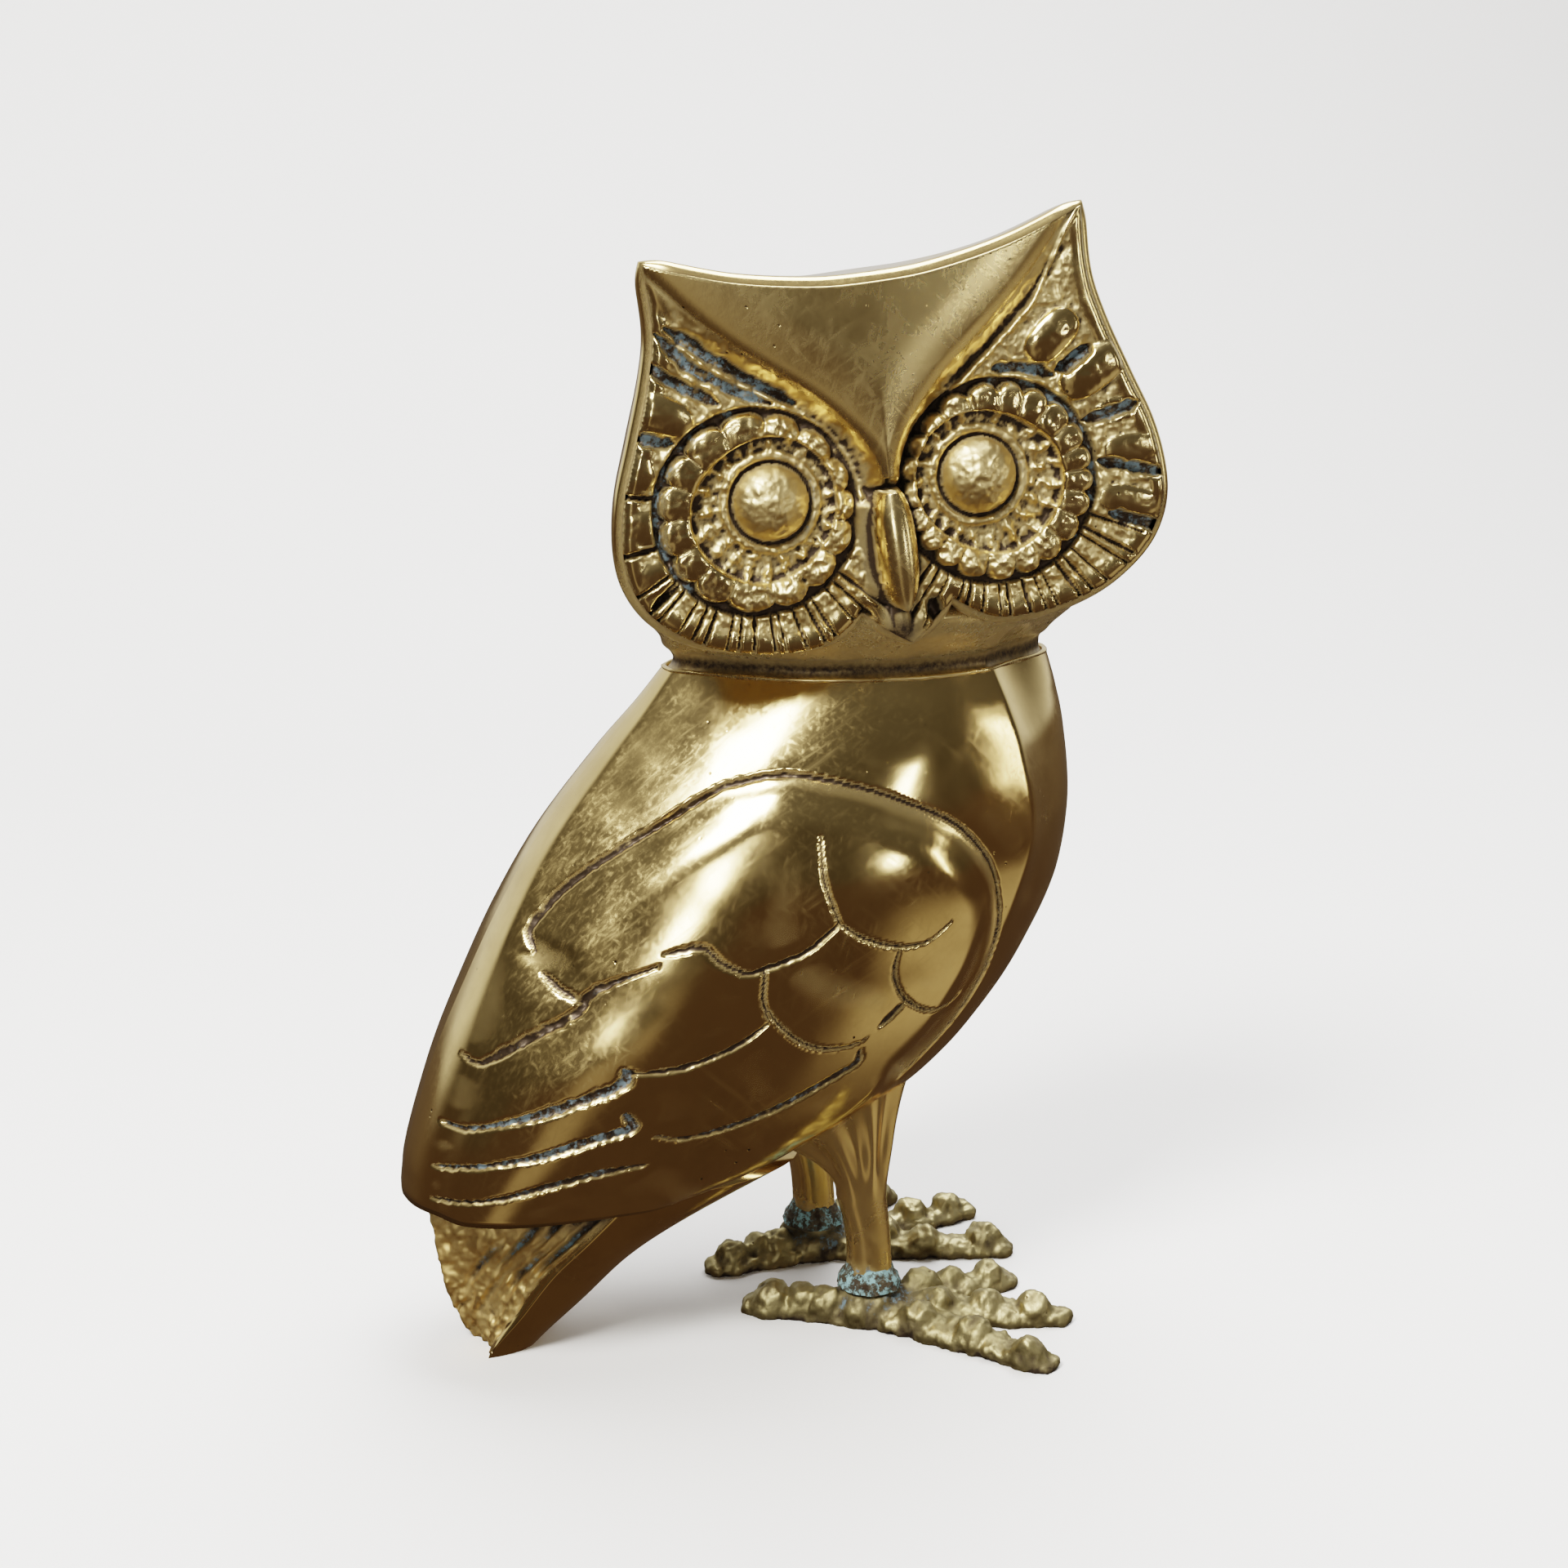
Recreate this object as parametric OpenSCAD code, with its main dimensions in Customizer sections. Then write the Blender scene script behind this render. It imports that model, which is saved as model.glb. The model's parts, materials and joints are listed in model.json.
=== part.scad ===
// Cast brass owl figurine, standing on two feet and the end of its tail.
// Millimetres, +Z up. The body faces +X and the turned head looks towards -Y.
// The origin is on the table, under the middle of the owl's bounding box.

/* [Whole owl] */
// Wall of the hollow castings
wall = 2.4; // [1.8:0.1:3.2]
// Shift of the modelling frame that puts the origin under the middle, along X
centre_x = 2.85; // [-3:0.05:4]
// The same shift along Y
centre_y = 4.05; // [0:0.05:12]

/* [Body] */
// Level of the ledge where the wings end and the tail starts
ledge_z = 22; // [20:0.5:24]
// Level of the body's mouth, under the neck
mouth_z = 90.5; // [88:0.5:92]
// Squareness of the body's cross-section, 2 is an ellipse
body_power = 2.4; // [2:0.1:3]

/* [Head] */
// Middle of the face along X, Y and Z
face_at = [9.8, -20.8, 116.8];
// Turn of the face about the upright axis, from looking straight towards -Y
face_yaw = -9; // [-15:1:5]
// Tilt of the face to one side, so that one ear is higher
face_roll = 7.5; // [0:0.5:12]
// Depth of the back of the head behind the face's rim
head_depth = 37; // [30:1:40]
// Level of the flat underside of the head, on the neck collar
head_base_z = 100; // [99:0.5:102]
// Radius of an eye's dome
eye_r = 5.2; // [4:0.1:6]
// Half the distance between the two eyes
eye_x = 13.7; // [12:0.1:15]
// Height of the neck's brazed bead
bead_h = 1; // [0.6:0.1:1.4]

/* [Legs and feet] */
// Distance of each leg from the middle plane
leg_y = 11.4; // [10:0.1:13]
// Place of the ankles along X
ankle_x = 11.6; // [9:0.1:13]
// Height of the foot's boss, where the leg is soldered on
boss_h = 4.6; // [4:0.1:5.5]
// Radius of the leg at the ankle
ankle_r = 3; // [2.6:0.1:3.4]
// Direction of the right foot's middle toe, turned from +X
right_foot_turn = -23.5; // [-30:0.5:0]
// Direction of the left foot's middle toe, turned from +X
left_foot_turn = 10; // [0:0.5:30]

/* [Belly plug] */
// Radius of the plug that closes the core hole
plug_r = 1.1; // [0.8:0.1:1.4]
// Place of the plug along X and Y
plug_at = [-8.4, -7];

/* [Hidden] */

polished = [0.80, 0.62, 0.28];
as_cast = [0.66, 0.58, 0.36];
solder = [0.42, 0.50, 0.44];
tiny = 0.01;
leg_sides = 26;

// Body profile: level, back, front and half width, from the ledge up to the mouth
body_form = [[ledge_z, -50.5, 2, 15], [24.6, -50.2, 7.4, 16.3], [28, -49.7, 13.4, 17.8],
             [34, -48, 22, 19.8], [42, -45.2, 30.6, 21.7], [50, -41.6, 36.8, 22.8],
             [60, -36.6, 42, 23.3], [70, -30.6, 43.6, 23], [80, -22.6, 43, 21.2],
             [86, -17.2, 41.8, 19.2], [mouth_z, -13.5, 40.5, 17.2]];
// Tail profile: level, back ridge, corner X, corner half width, underside
tail_form = [[0, -42, -41, 7, -32.7], [2, -43, -40, 7.6, -30.5], [6, -44.8, -37, 8.9, -25.8],
             [12, -46.2, -33, 10.8, -18.9], [17, -47, -28.6, 12.8, -10.2],
             [ledge_z, -47.5, -24.25, 15, 2]];
// Neck collar profile: level, back, front and half width
neck_form = [[mouth_z + bead_h, -13.8, 40.2, 16.6], [93.5, -15, 39.6, 16.2],
             [96.5, -17, 39.6, 16.2], [head_base_z, -19, 39.8, 16.2]];

// Right half of the face's outline, from the middle of the crown round to the beak
crown = [[0, 24.2], [7, 24.5], [17, 26.3], [27, 29.6]];
cheek = [[27, 29.6], [26.9, 22], [28.3, 16], [31.3, 9], [33.6, 1.5], [34.2, -6], [32.6, -12],
         [29, -16], [23.5, -18.6], [16.5, -19.6], [8.5, -17.8], [4.4, -15.4]];
beak_edge = [[4.4, -15.4], [2.4, -19.4], [0, -21]];

// Leg's shank: level, centre from the ankle, radius along X and along Y
leg_form = [[boss_h, 0, ankle_r, ankle_r], [6.6, 0, ankle_r, ankle_r], [10, -0.1, 3, 2.9],
            [14, -0.5, 3, 2.9], [18, -1.3, 3.2, 3]];
// Thigh's edge on the belly: centre from the ankle along X and Y, and its two radii
thigh_edge = [-3.2, -3.4, 8.6, 6];
thigh_steps = 5;
cap_steps = 4;
// Toes: turn from the foot's axis, length, first radius and last radius
toes = [[-30.5, 29, 3.6, 1.5], [0, 27.5, 3.6, 1.5], [31, 23, 3.5, 1.6], [180, 16.5, 3.5, 1.6]];

body_levels = [for (i = [0:0.5:len(body_form) - 1]) i];
floor_row = 2;
body_steps = 18;
tail_levels = [for (i = [0:0.5:len(tail_form) - 1]) i];
tail_steps = 10;
face_rings = 17;
head_rings = 10;
rim_z = -2.5;

// Catmull-Rom curve through the rows of a table, s counts rows
function curve(p0, p1, p2, p3, t) =
    0.5 * (2 * p1 + (p2 - p0) * t + (2 * p0 - 5 * p1 + 4 * p2 - p3) * t * t
    + (3 * p1 - p0 - 3 * p2 + p3) * t * t * t);
function row_at(rows, s) =
    let (n = len(rows) - 1, i = min(floor(s), n - 1))
    curve(rows[max(i - 1, 0)], rows[i], rows[i + 1], rows[min(i + 2, n)], s - i);
function smooth_path(points, parts) =
    [for (i = [0:parts * (len(points) - 1) - 1]) row_at(points, i / parts)];
function mix(a, b, t) = a * (1 - t) + b * t;
function signed_pow(v, e) = sign(v) * pow(abs(v), e);

// Faces of a grid of points, rows of n points; flip turns the skin inside out
function skin(rows, n, closed, flip, first) =
    [for (i = [0:rows - 2], j = [0:n - (closed ? 1 : 2)])
        let (a = first + i * n + j, b = first + i * n + (j + 1) % n)
        each flip ? [[a, a + n, b], [b, a + n, b + n]] : [[a, b, a + n], [b, b + n, a + n]]];
// A fan of triangles that closes a ring of points
function fan(n, first, flip) =
    [for (j = [1:n - 2]) flip ? [first, first + j + 1, first + j] : [first, first + j, first + j + 1]];

// One half of a level section, from the back round the -Y side to the front
function half_section(row, inset) =
    let (back = row[1] + inset, front = row[2] - inset, half = row[3] - inset,
         cx = (back + front) / 2, a = (front - back) / 2)
    [for (j = [0:body_steps])
        let (t = 180 * j / body_steps, e = 2 / body_power)
        [cx - a * signed_pow(cos(t), e), j == 0 || j == body_steps ? 0 : -half * pow(sin(t), e), row[0]]];
function full_section(row, inset) =
    let (h = half_section(row, inset))
    concat(h, [for (j = [body_steps - 1:-1:1]) [h[j][0], -h[j][1], h[j][2]]]);

// Half of the hollow body, with its floor on the ledge
module half_body() {
    n = body_steps + 1;
    rows = [for (s = body_levels) row_at(body_form, s)];
    count = len(rows);
    inner_count = count - floor_row;
    outer = [for (r = rows) each half_section(r, 0)];
    inner = [for (i = [floor_row:count - 1]) each half_section(rows[i], wall)];
    inner_first = count * n;
    top = (count - 1) * n;
    inner_top = inner_first + (inner_count - 1) * n;
    rim = [for (j = [0:n - 2])
        each [[top + j, top + j + 1, inner_top + j], [top + j + 1, inner_top + j + 1, inner_top + j]]];
    seams = [for (i = [floor_row:count - 2])
        let (o = i * n, q = inner_first + (i - floor_row) * n, m = n - 1)
        each [[o, o + n, q], [q, o + n, q + n], [o + m, q + m, o + m + n], [q + m, q + m + n, o + m + n]]];
    low = (floor_row - 1) * n;
    slab = concat(
        [for (i = [0:floor_row - 2]) each [[i * n, (i + 1) * n, (i + 1) * n + n - 1],
                                           [i * n, (i + 1) * n + n - 1, i * n + n - 1]]],
        [[low, low + n, inner_first], [low, inner_first, inner_first + n - 1],
         [low, inner_first + n - 1, low + n - 1], [low + n - 1, inner_first + n - 1, low + 2 * n - 1]]);
    polyhedron(concat(outer, inner),
        concat(skin(count, n, false, false, 0), skin(inner_count, n, false, true, inner_first),
               fan(n, 0, true), fan(n, inner_first, false), rim, seams, slab), convexity = 6);
}

module body_right() {
    color(polished) placed() difference() {
        half_body();
        plug_hole();
    }
}

module body_left() {
    color(polished) placed() mirror([0, 1, 0]) half_body();
}

// Moves the modelling frame so that the origin is under the middle of the owl
module placed() {
    translate([centre_x, centre_y, 0]) children();
}

// A level section of the tail: back ridge, sharp corner, rounded underside
function tail_half(row) =
    let (cx = row[2], cy = row[3], reach = row[4] - cx, e = 2 / body_power)
    concat([[row[1], 0, row[0]], [mix(row[1], cx, 0.5), -cy * 0.46, row[0]]],
        [for (j = [0:tail_steps])
            let (t = 90 * j / tail_steps)
            [cx + reach * pow(sin(t), e), j == tail_steps ? 0 : -cy * pow(cos(t), e), row[0]]]);
function tail_ring(row) =
    let (h = tail_half(row), m = len(h) - 1)
    concat(h, [for (j = [m - 1:-1:1]) [h[j][0], -h[j][1], h[j][2]]]);

module tail_block() {
    rows = [for (s = tail_levels) row_at(tail_form, s)];
    n = len(tail_ring(rows[0]));
    polyhedron([for (r = rows) each tail_ring(r)],
        concat(skin(len(rows), n, true, false, 0), fan(n, 0, true), fan(n, (len(rows) - 1) * n, false)),
        convexity = 4);
}

module tail() {
    color(as_cast) placed() difference() {
        tail_block();
        plug_hole();
    }
}

module plug_hole() {
    translate([plug_at[0], plug_at[1], 15]) cylinder(h = 14, r = plug_r, $fn = 48);
}

// Plug through the belly's skin and the body's floor
module belly_plug() {
    color(polished) placed() translate([plug_at[0], plug_at[1], 19.2])
        cylinder(h = 5.4, r = plug_r, $fn = 48);
}

// Cast ring that carries the head, with a mouth into the hollow body
module neck_collar() {
    rows = [for (s = [0:0.5:len(neck_form) - 1]) row_at(neck_form, s)];
    color(polished) placed() ring_loft(rows, wall + 1.6);
}

// Bead of braze between the body's mouth and the collar
module neck_braze() {
    color(solder) placed()
        ring_loft([[mouth_z, -13.9, 40.6, 17], [mouth_z + bead_h / 2, -14.3, 40.9, 17.3],
                   [mouth_z + bead_h, -13.9, 40.4, 16.8]], wall - 0.4);
}

// A loft of oval rings with a straight-sided hollow
module ring_loft(rows, thick) {
    n = 2 * body_steps;
    m = len(rows);
    outer = [for (r = rows) each full_section(r, 0)];
    inner = [for (r = rows) each full_section(r, thick)];
    faces = concat(skin(m, n, true, false, 0), skin(m, n, true, true, m * n),
        [for (j = [0:n - 1])
            let (k = (j + 1) % n, t = (m - 1) * n, u = m * n, v = (2 * m - 1) * n)
            each [[t + j, t + k, v + j], [t + k, v + k, v + j], [j, u + j, k], [k, u + j, u + k]]]);
    polyhedron(concat(outer, inner), faces, convexity = 6);
}

// Outline of the face, the +X half and its mirror image
half_outline = concat(smooth_path(crown, 3), smooth_path(cheek, 2), smooth_path(beak_edge, 2), [[0, -21]]);
outline = concat(half_outline,
    [for (j = [len(half_outline) - 2:-1:1]) [-half_outline[j][0], half_outline[j][1]]]);

// Face frame to modelling frame
function turn_z(p, a) = [p[0] * cos(a) - p[1] * sin(a), p[0] * sin(a) + p[1] * cos(a), p[2]];
function turn_y(p, a) = [p[0] * cos(a) - p[2] * sin(a), p[1], p[0] * sin(a) + p[2] * cos(a)];
function from_face(p) = face_at + turn_z(turn_y([p[0], -p[2], p[1]], face_roll), face_yaw);
function above(p, level) = [p[0], p[1], max(p[2], level)];

// Relief of the face: cushion of the forehead, eye discs, domes and beak
function step_up(v, a, b) = let (t = max(0, min(1, (v - a) / (b - a)))) t * t * (3 - 2 * t);
function brow_edge(x) = 0.8 + 1.066 * abs(x) - 1.6 * sin(180 * min(1, abs(x) / 27));
function eye_relief(d) =
    d < eye_r ? 0.8 + sqrt(max(0, eye_r * eye_r - d * d)) * 0.75 :
    d < eye_r + 1.5 ? 0.8 : 2.6 * (1 - step_up(d, 10.5, 13)) * step_up(d, eye_r + 1, eye_r + 3.5);
function relief(x, y) =
    let (d = norm([abs(x) - eye_x, y + 0.6]),
         edge = step_up(y - brow_edge(x), -1.2, 1.2),
         beak = 7.5 * exp(-pow(x / 2.4, 4)) * step_up(-y, -1, 5) * (1 - step_up(-y, 16, 22)))
    max(mix(1 + eye_relief(d), 6.5 - 0.09 * abs(x) - 0.06 * max(0, y), edge), beak);

function rim_fall(s) = min(1, (1 - s) * 9 + 0.25);

module head_face() {
    n = len(outline);
    scales = [for (k = [0:face_rings]) k == 0 ? tiny : pow(k / face_rings, 0.85)];
    front = [for (s = scales, p = outline)
        from_face([s * p[0], s * p[1], relief(s * p[0], s * p[1]) * rim_fall(s)])];
    rear = [for (s = scales, p = outline)
        from_face([s * p[0], s * p[1],
            s > 0.93 ? rim_z : min(-0.4, relief(s * p[0], s * p[1]) * rim_fall(s) - wall)])];
    m = len(scales);
    edge = [for (j = [0:n - 1])
        let (k = (j + 1) % n, o = (m - 1) * n, q = (2 * m - 1) * n)
        each [[o + j, o + k, q + j], [o + k, q + k, q + j]]];
    color(polished) placed() polyhedron(concat(front, rear),
        concat(skin(m, n, true, false, 0), skin(m, n, true, true, m * n),
               fan(n, 0, true), fan(n, m * n, false), edge), convexity = 8);
}

// Back of the head: the rim follows the face, the back is a rounded dome
function dome_point(p, q, inset) =
    let (fade = step_up(q, 0, 0.75), r = norm(p), round = 27 + 5 * pow(p[0] / r, 2),
         s = pow(cos(90 * q), 0.55) * mix(1, round / r, fade) * (1 - inset / 28),
         z = rim_z - (head_depth - inset) * pow(sin(90 * q), 1.15))
    above(from_face([s * p[0], s * p[1] + 1.5 * fade, z]), head_base_z + inset);

module head_back() {
    n = len(outline);
    steps = [for (k = [0:head_rings]) min(0.985, k / head_rings)];
    outer = [for (q = steps, p = outline) dome_point(p, q, 0)];
    inner = [for (q = steps, p = outline) dome_point(p, q, wall)];
    m = len(steps);
    edge = [for (j = [0:n - 1])
        let (k = (j + 1) % n, u = m * n)
        each [[j, k, u + j], [k, u + k, u + j]]];
    color(polished) placed() polyhedron(concat(outer, inner),
        concat(skin(m, n, true, true, 0), skin(m, n, true, false, m * n),
               fan(n, (m - 1) * n, true), fan(n, (2 * m - 1) * n, false), edge), convexity = 8);
}

// Level of the belly's skin over a point, found by halving a span of body rows
function belly_z(x, y, low = 0, high = 6, tries = 16) =
    let (s = (low + high) / 2, r = row_at(body_form, s), reach = (r[2] - r[1]) / 2,
         inside = pow(abs(x - r[1] - reach) / reach, body_power) + pow(abs(y) / r[3], body_power) < 1)
    tries == 0 ? r[0] : inside ? belly_z(x, y, low, s, tries - 1) : belly_z(x, y, s, high, tries - 1);
function on_belly(x, y) = [x, y, belly_z(x, y) - 0.02];

// Point of the thigh's edge in direction t, f runs from the middle to the edge
function thigh_point(t, f) =
    on_belly(ankle_x + thigh_edge[0] - f * thigh_edge[2] * cos(t), leg_y + thigh_edge[1] + f * thigh_edge[3] * sin(t));
function shank_point(r, t) = [ankle_x + r[1] - r[2] * cos(t), leg_y + r[3] * sin(t), r[0]];
function flare(a, b, f) = let (q = pow(f, 1.9)) [mix(a[0], b[0], q), mix(a[1], b[1], q), mix(a[2], b[2], pow(f, 0.9))];

// The +Y leg: a round shank that flares into a thigh with its top on the belly
module leg() {
    n = leg_sides;
    turns = [for (j = [0:n - 1]) -360 * j / n];
    shank = [for (s = [0:0.5:len(leg_form) - 1]) row_at(leg_form, s)];
    last = leg_form[len(leg_form) - 1];
    points = concat(
        [for (r = shank, t = turns) shank_point(r, t)],
        [for (k = [1:thigh_steps], t = turns)
            flare(shank_point(last, t), thigh_point(t, 1), k / thigh_steps)],
        [for (k = [cap_steps - 1:-1:1], t = turns) thigh_point(t, k / cap_steps)]);
    rings = len(points) / n;
    polyhedron(points, concat(skin(rings, n, true, false, 0), fan(n, 0, true), fan(n, (rings - 1) * n, false)),
        convexity = 6);
}

module leg_right() {
    color(polished) placed() mirror([0, 1, 0]) leg();
}

module leg_left() {
    color(polished) placed() leg();
}

// One foot: four knuckled toes hulled from a flat boss, flat underneath
module foot(turn) {
    for (t = toes, k = [0:2]) hull() {
        toe_joint(t, turn, k / 3);
        toe_joint(t, turn, (k + 1) / 3);
    }
    cylinder(h = boss_h, r = 4.9, $fn = 32);
}

module toe_joint(toe, turn, f) {
    r = mix(toe[2], toe[3], f);
    h = mix(4.2, 2.4, f) + (f > 0.3 && f < 0.9 ? 0.5 : 0);
    rotate([0, 0, turn + toe[0]]) translate([f * (toe[1] - toe[3]), 0, 0]) {
        cylinder(h = h * 0.55, r = r, $fn = 16);
        cylinder(h = h, r = r * 0.55, $fn = 16);
    }
}

module foot_right() {
    color(as_cast) placed() translate([ankle_x, -leg_y, 0]) foot(right_foot_turn);
}

module foot_left() {
    color(as_cast) placed() translate([ankle_x, leg_y, 0]) foot(left_foot_turn);
}

// Fillet of solder round the ankle, on the foot's boss
module ankle_braze() {
    translate([0, 0, boss_h]) rotate_extrude($fn = 48)
        polygon([[ankle_r, 0], [ankle_r + 1.3, 0], [ankle_r + 0.5, 0.6], [ankle_r, 1.6]]);
}

module ankle_braze_right() {
    color(solder) placed() translate([ankle_x, -leg_y, 0]) ankle_braze();
}

module ankle_braze_left() {
    color(solder) placed() translate([ankle_x, leg_y, 0]) ankle_braze();
}

head_face();
head_back();
neck_collar();
neck_braze();
body_right();
body_left();
tail();
belly_plug();
leg_right();
leg_left();
foot_right();
foot_left();
ankle_braze_right();
ankle_braze_left();
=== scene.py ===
"""A cast brass owl on two rough feet: its castings, finishes, stage and light.

Sizes are in millimetres in the modelling frame of the castings: +Z up, the body faces +X and the
turned face looks towards -Y. Every mesh is moved to the part's own frame, in metres, as it is made.
"""
import json
import logging
import math
from dataclasses import dataclass, field
from enum import Enum
from functools import cache
from typing import Dict, List, Optional, Sequence, Tuple, Union

import bmesh
import bpy
import numpy as np
from mathutils import Matrix, Vector

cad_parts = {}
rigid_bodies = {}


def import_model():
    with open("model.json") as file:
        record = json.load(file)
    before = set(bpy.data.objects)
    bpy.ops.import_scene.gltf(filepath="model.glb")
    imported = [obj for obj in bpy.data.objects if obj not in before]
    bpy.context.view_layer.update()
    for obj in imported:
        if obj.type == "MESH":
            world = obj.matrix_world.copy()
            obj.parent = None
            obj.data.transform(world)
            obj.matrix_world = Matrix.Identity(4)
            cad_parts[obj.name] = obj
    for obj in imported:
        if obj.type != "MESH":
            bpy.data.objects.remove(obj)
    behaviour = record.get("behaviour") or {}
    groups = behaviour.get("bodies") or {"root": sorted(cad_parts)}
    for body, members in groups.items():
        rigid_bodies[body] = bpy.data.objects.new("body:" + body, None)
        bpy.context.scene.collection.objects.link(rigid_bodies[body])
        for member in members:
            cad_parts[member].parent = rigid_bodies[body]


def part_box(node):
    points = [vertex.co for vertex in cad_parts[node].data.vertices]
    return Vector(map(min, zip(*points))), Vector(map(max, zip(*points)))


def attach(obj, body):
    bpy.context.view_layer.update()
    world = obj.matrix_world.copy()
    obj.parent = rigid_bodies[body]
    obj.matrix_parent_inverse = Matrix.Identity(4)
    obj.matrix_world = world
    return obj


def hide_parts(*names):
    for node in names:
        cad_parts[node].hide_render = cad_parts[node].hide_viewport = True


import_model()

LOG = logging.getLogger("owl")
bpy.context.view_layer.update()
MM = 0.001
# Middle of the right ankle in the modelling frame
ANKLE = np.array((11.6, -11.4))
# Levels of the body's floor and of its mouth under the collar, and the mouth's middle along X
FLOOR, MOUTH, MOUTH_X = 22.0, 90.5, 13.5

Colour = Tuple[float, float, float]
Point = Tuple[float, float]
Array = np.ndarray


# ---------------------------------------------------------------- numbers and curves


def frame_shift() -> Array:
    """Find the shift from the modelling frame to the part's frame, from the right ankle's box.

    Returns:
        The shift in millimetres.
    """
    low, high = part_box("ankle_braze_right")
    middle = (np.array(low) + np.array(high)) / 2 / MM
    return np.array((middle[0] - ANKLE[0], middle[1] - ANKLE[1], 0.0))


SHIFT = frame_shift()


def smoothstep(value: Array, low: float, high: float) -> Array:
    """Return 0 below low, 1 above high and a smooth rise between them."""
    t = np.clip((value - low) / (high - low), 0.0, 1.0)
    return t * t * (3 - 2 * t)


def bump_at(value: Array, centre: float, width: float) -> Array:
    """Return a smooth hump of height 1 at centre that ends at width on both sides."""
    return np.clip(1 - ((value - centre) / width) ** 2, 0, 1) ** 2


def mix(a: Array, b: Array, t: Array) -> Array:
    """Return the blend of a and b, a where t is 0 and b where t is 1."""
    return a * (1 - t) + b * t


def catmull(points: Sequence[Sequence[float]], parts: int) -> Array:
    """Return a smooth curve through points.

    Args:
        points: Rows of numbers, two or more.
        parts: Steps between one point and the next.

    Returns:
        The curve's rows, from the first point to the last.
    """
    p = np.array(points, float)
    padded = np.vstack((p[:1], p, p[-1:]))
    t = np.linspace(0, 1, parts, endpoint=False)[:, None]
    rows = []
    for i in range(len(p) - 1):
        a, b, c, d = padded[i:i + 4]
        rows.append(0.5 * (2 * b + (c - a) * t + (2 * a - 5 * b + 4 * c - d) * t * t
                           + (3 * b - a - 3 * c + d) * t ** 3))
    return np.vstack(rows + [p[-1:]])


def bezier(a: Array, b: Array, c: Array, d: Array, steps: int) -> Array:
    """Return points of a cubic Bezier curve.

    Args:
        a: Its start.
        b: The handle that it leaves towards.
        c: The handle that it arrives from.
        d: Its end.
        steps: Number of points.

    Returns:
        The curve's points, without its end.
    """
    t = np.linspace(0, 1, steps, endpoint=False)[:, None]
    return a * (1 - t) ** 3 + 3 * b * t * (1 - t) ** 2 + 3 * c * t * t * (1 - t) + d * t ** 3


def heading(degrees: float) -> Array:
    """Return the unit vector that points degrees from +X towards +Y."""
    return np.array((math.cos(math.radians(degrees)), math.sin(math.radians(degrees))))


def spaced(line: Array, count: int) -> Array:
    """Spread points evenly along a line.

    Args:
        line: The line's own points.
        count: Number of points to return.

    Returns:
        The points, with both of the line's ends.
    """
    step = np.r_[0, np.cumsum(np.linalg.norm(np.diff(line, axis=0), axis=1))]
    at = np.linspace(0, step[-1], count)
    return np.stack([np.interp(at, step, line[:, k]) for k in range(line.shape[1])], axis=1)


def lattice_noise(points: Array, size: float, seed: int = 0) -> Array:
    """Return smooth noise from -1 to 1 at points.

    Args:
        points: Positions, three numbers a row.
        size: Distance between the noise's lumps.
        seed: Changes the pattern.

    Returns:
        One value a row.
    """
    q = points / size
    cell = np.floor(q).astype(np.int64)
    f = q - cell
    f = f * f * (3 - 2 * f)
    total = np.zeros(len(points))
    for corner in range(8):
        step = np.array((corner & 1, corner >> 1 & 1, corner >> 2 & 1))
        c = cell + step
        h = (c[:, 0] * 73856093) ^ (c[:, 1] * 19349663) ^ (c[:, 2] * 83492791) ^ (seed * 2654435761)
        h = (h ^ (h >> 13)) * 1274126177 & 0xFFFFFFFF
        h = (h ^ (h >> 16)) & 0xFFFF
        weight = np.prod(np.where(step == 1, f, 1 - f), axis=1)
        total += weight * (h / 32767.5 - 1)
    return total


def rough_noise(points: Array, size: float, seed: int = 0, octaves: int = 3) -> Array:
    """Return noise with finer and finer lumps on it, for cast skin."""
    return sum(lattice_noise(points, size / 2 ** k, seed + k) / 2 ** k for k in range(octaves))


def distance_to_line(points: Array, line: Array) -> Tuple[Array, Array]:
    """Measure how far flat points are from an open line.

    Args:
        points: Flat positions, two numbers a row.
        line: The line's own points.

    Returns:
        The distances, and how far along the line the nearest place is, from 0 to 1.
    """
    best = np.full(len(points), 1e9)
    along = np.zeros(len(points))
    lengths = np.r_[0, np.cumsum(np.linalg.norm(np.diff(line, axis=0), axis=1))]
    for i in range(len(line) - 1):
        a, d = line[i], line[i + 1] - line[i]
        t = np.clip(((points - a) @ d) / max(d @ d, 1e-9), 0, 1)
        r = np.hypot(*(points - a - t[:, None] * d).T)
        near = r < best
        best = np.where(near, r, best)
        along = np.where(near, (lengths[i] + t * (lengths[i + 1] - lengths[i])) / lengths[-1], along)
    return best, along


def inside_loop(points: Array, loop: Array) -> Array:
    """Find which flat points lie inside a closed loop.

    Args:
        points: Flat positions, two numbers a row.
        loop: The loop's own points.

    Returns:
        True for each point inside.
    """
    inside = np.zeros(len(points), bool)
    for a, b in zip(loop, np.roll(loop, -1, axis=0)):
        crosses = (a[1] > points[:, 1]) != (b[1] > points[:, 1])
        if a[1] == b[1]:
            continue
        x = a[0] + (points[:, 1] - a[1]) / (b[1] - a[1]) * (b[0] - a[0])
        inside ^= crosses & (points[:, 0] < x)
    return inside


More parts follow.
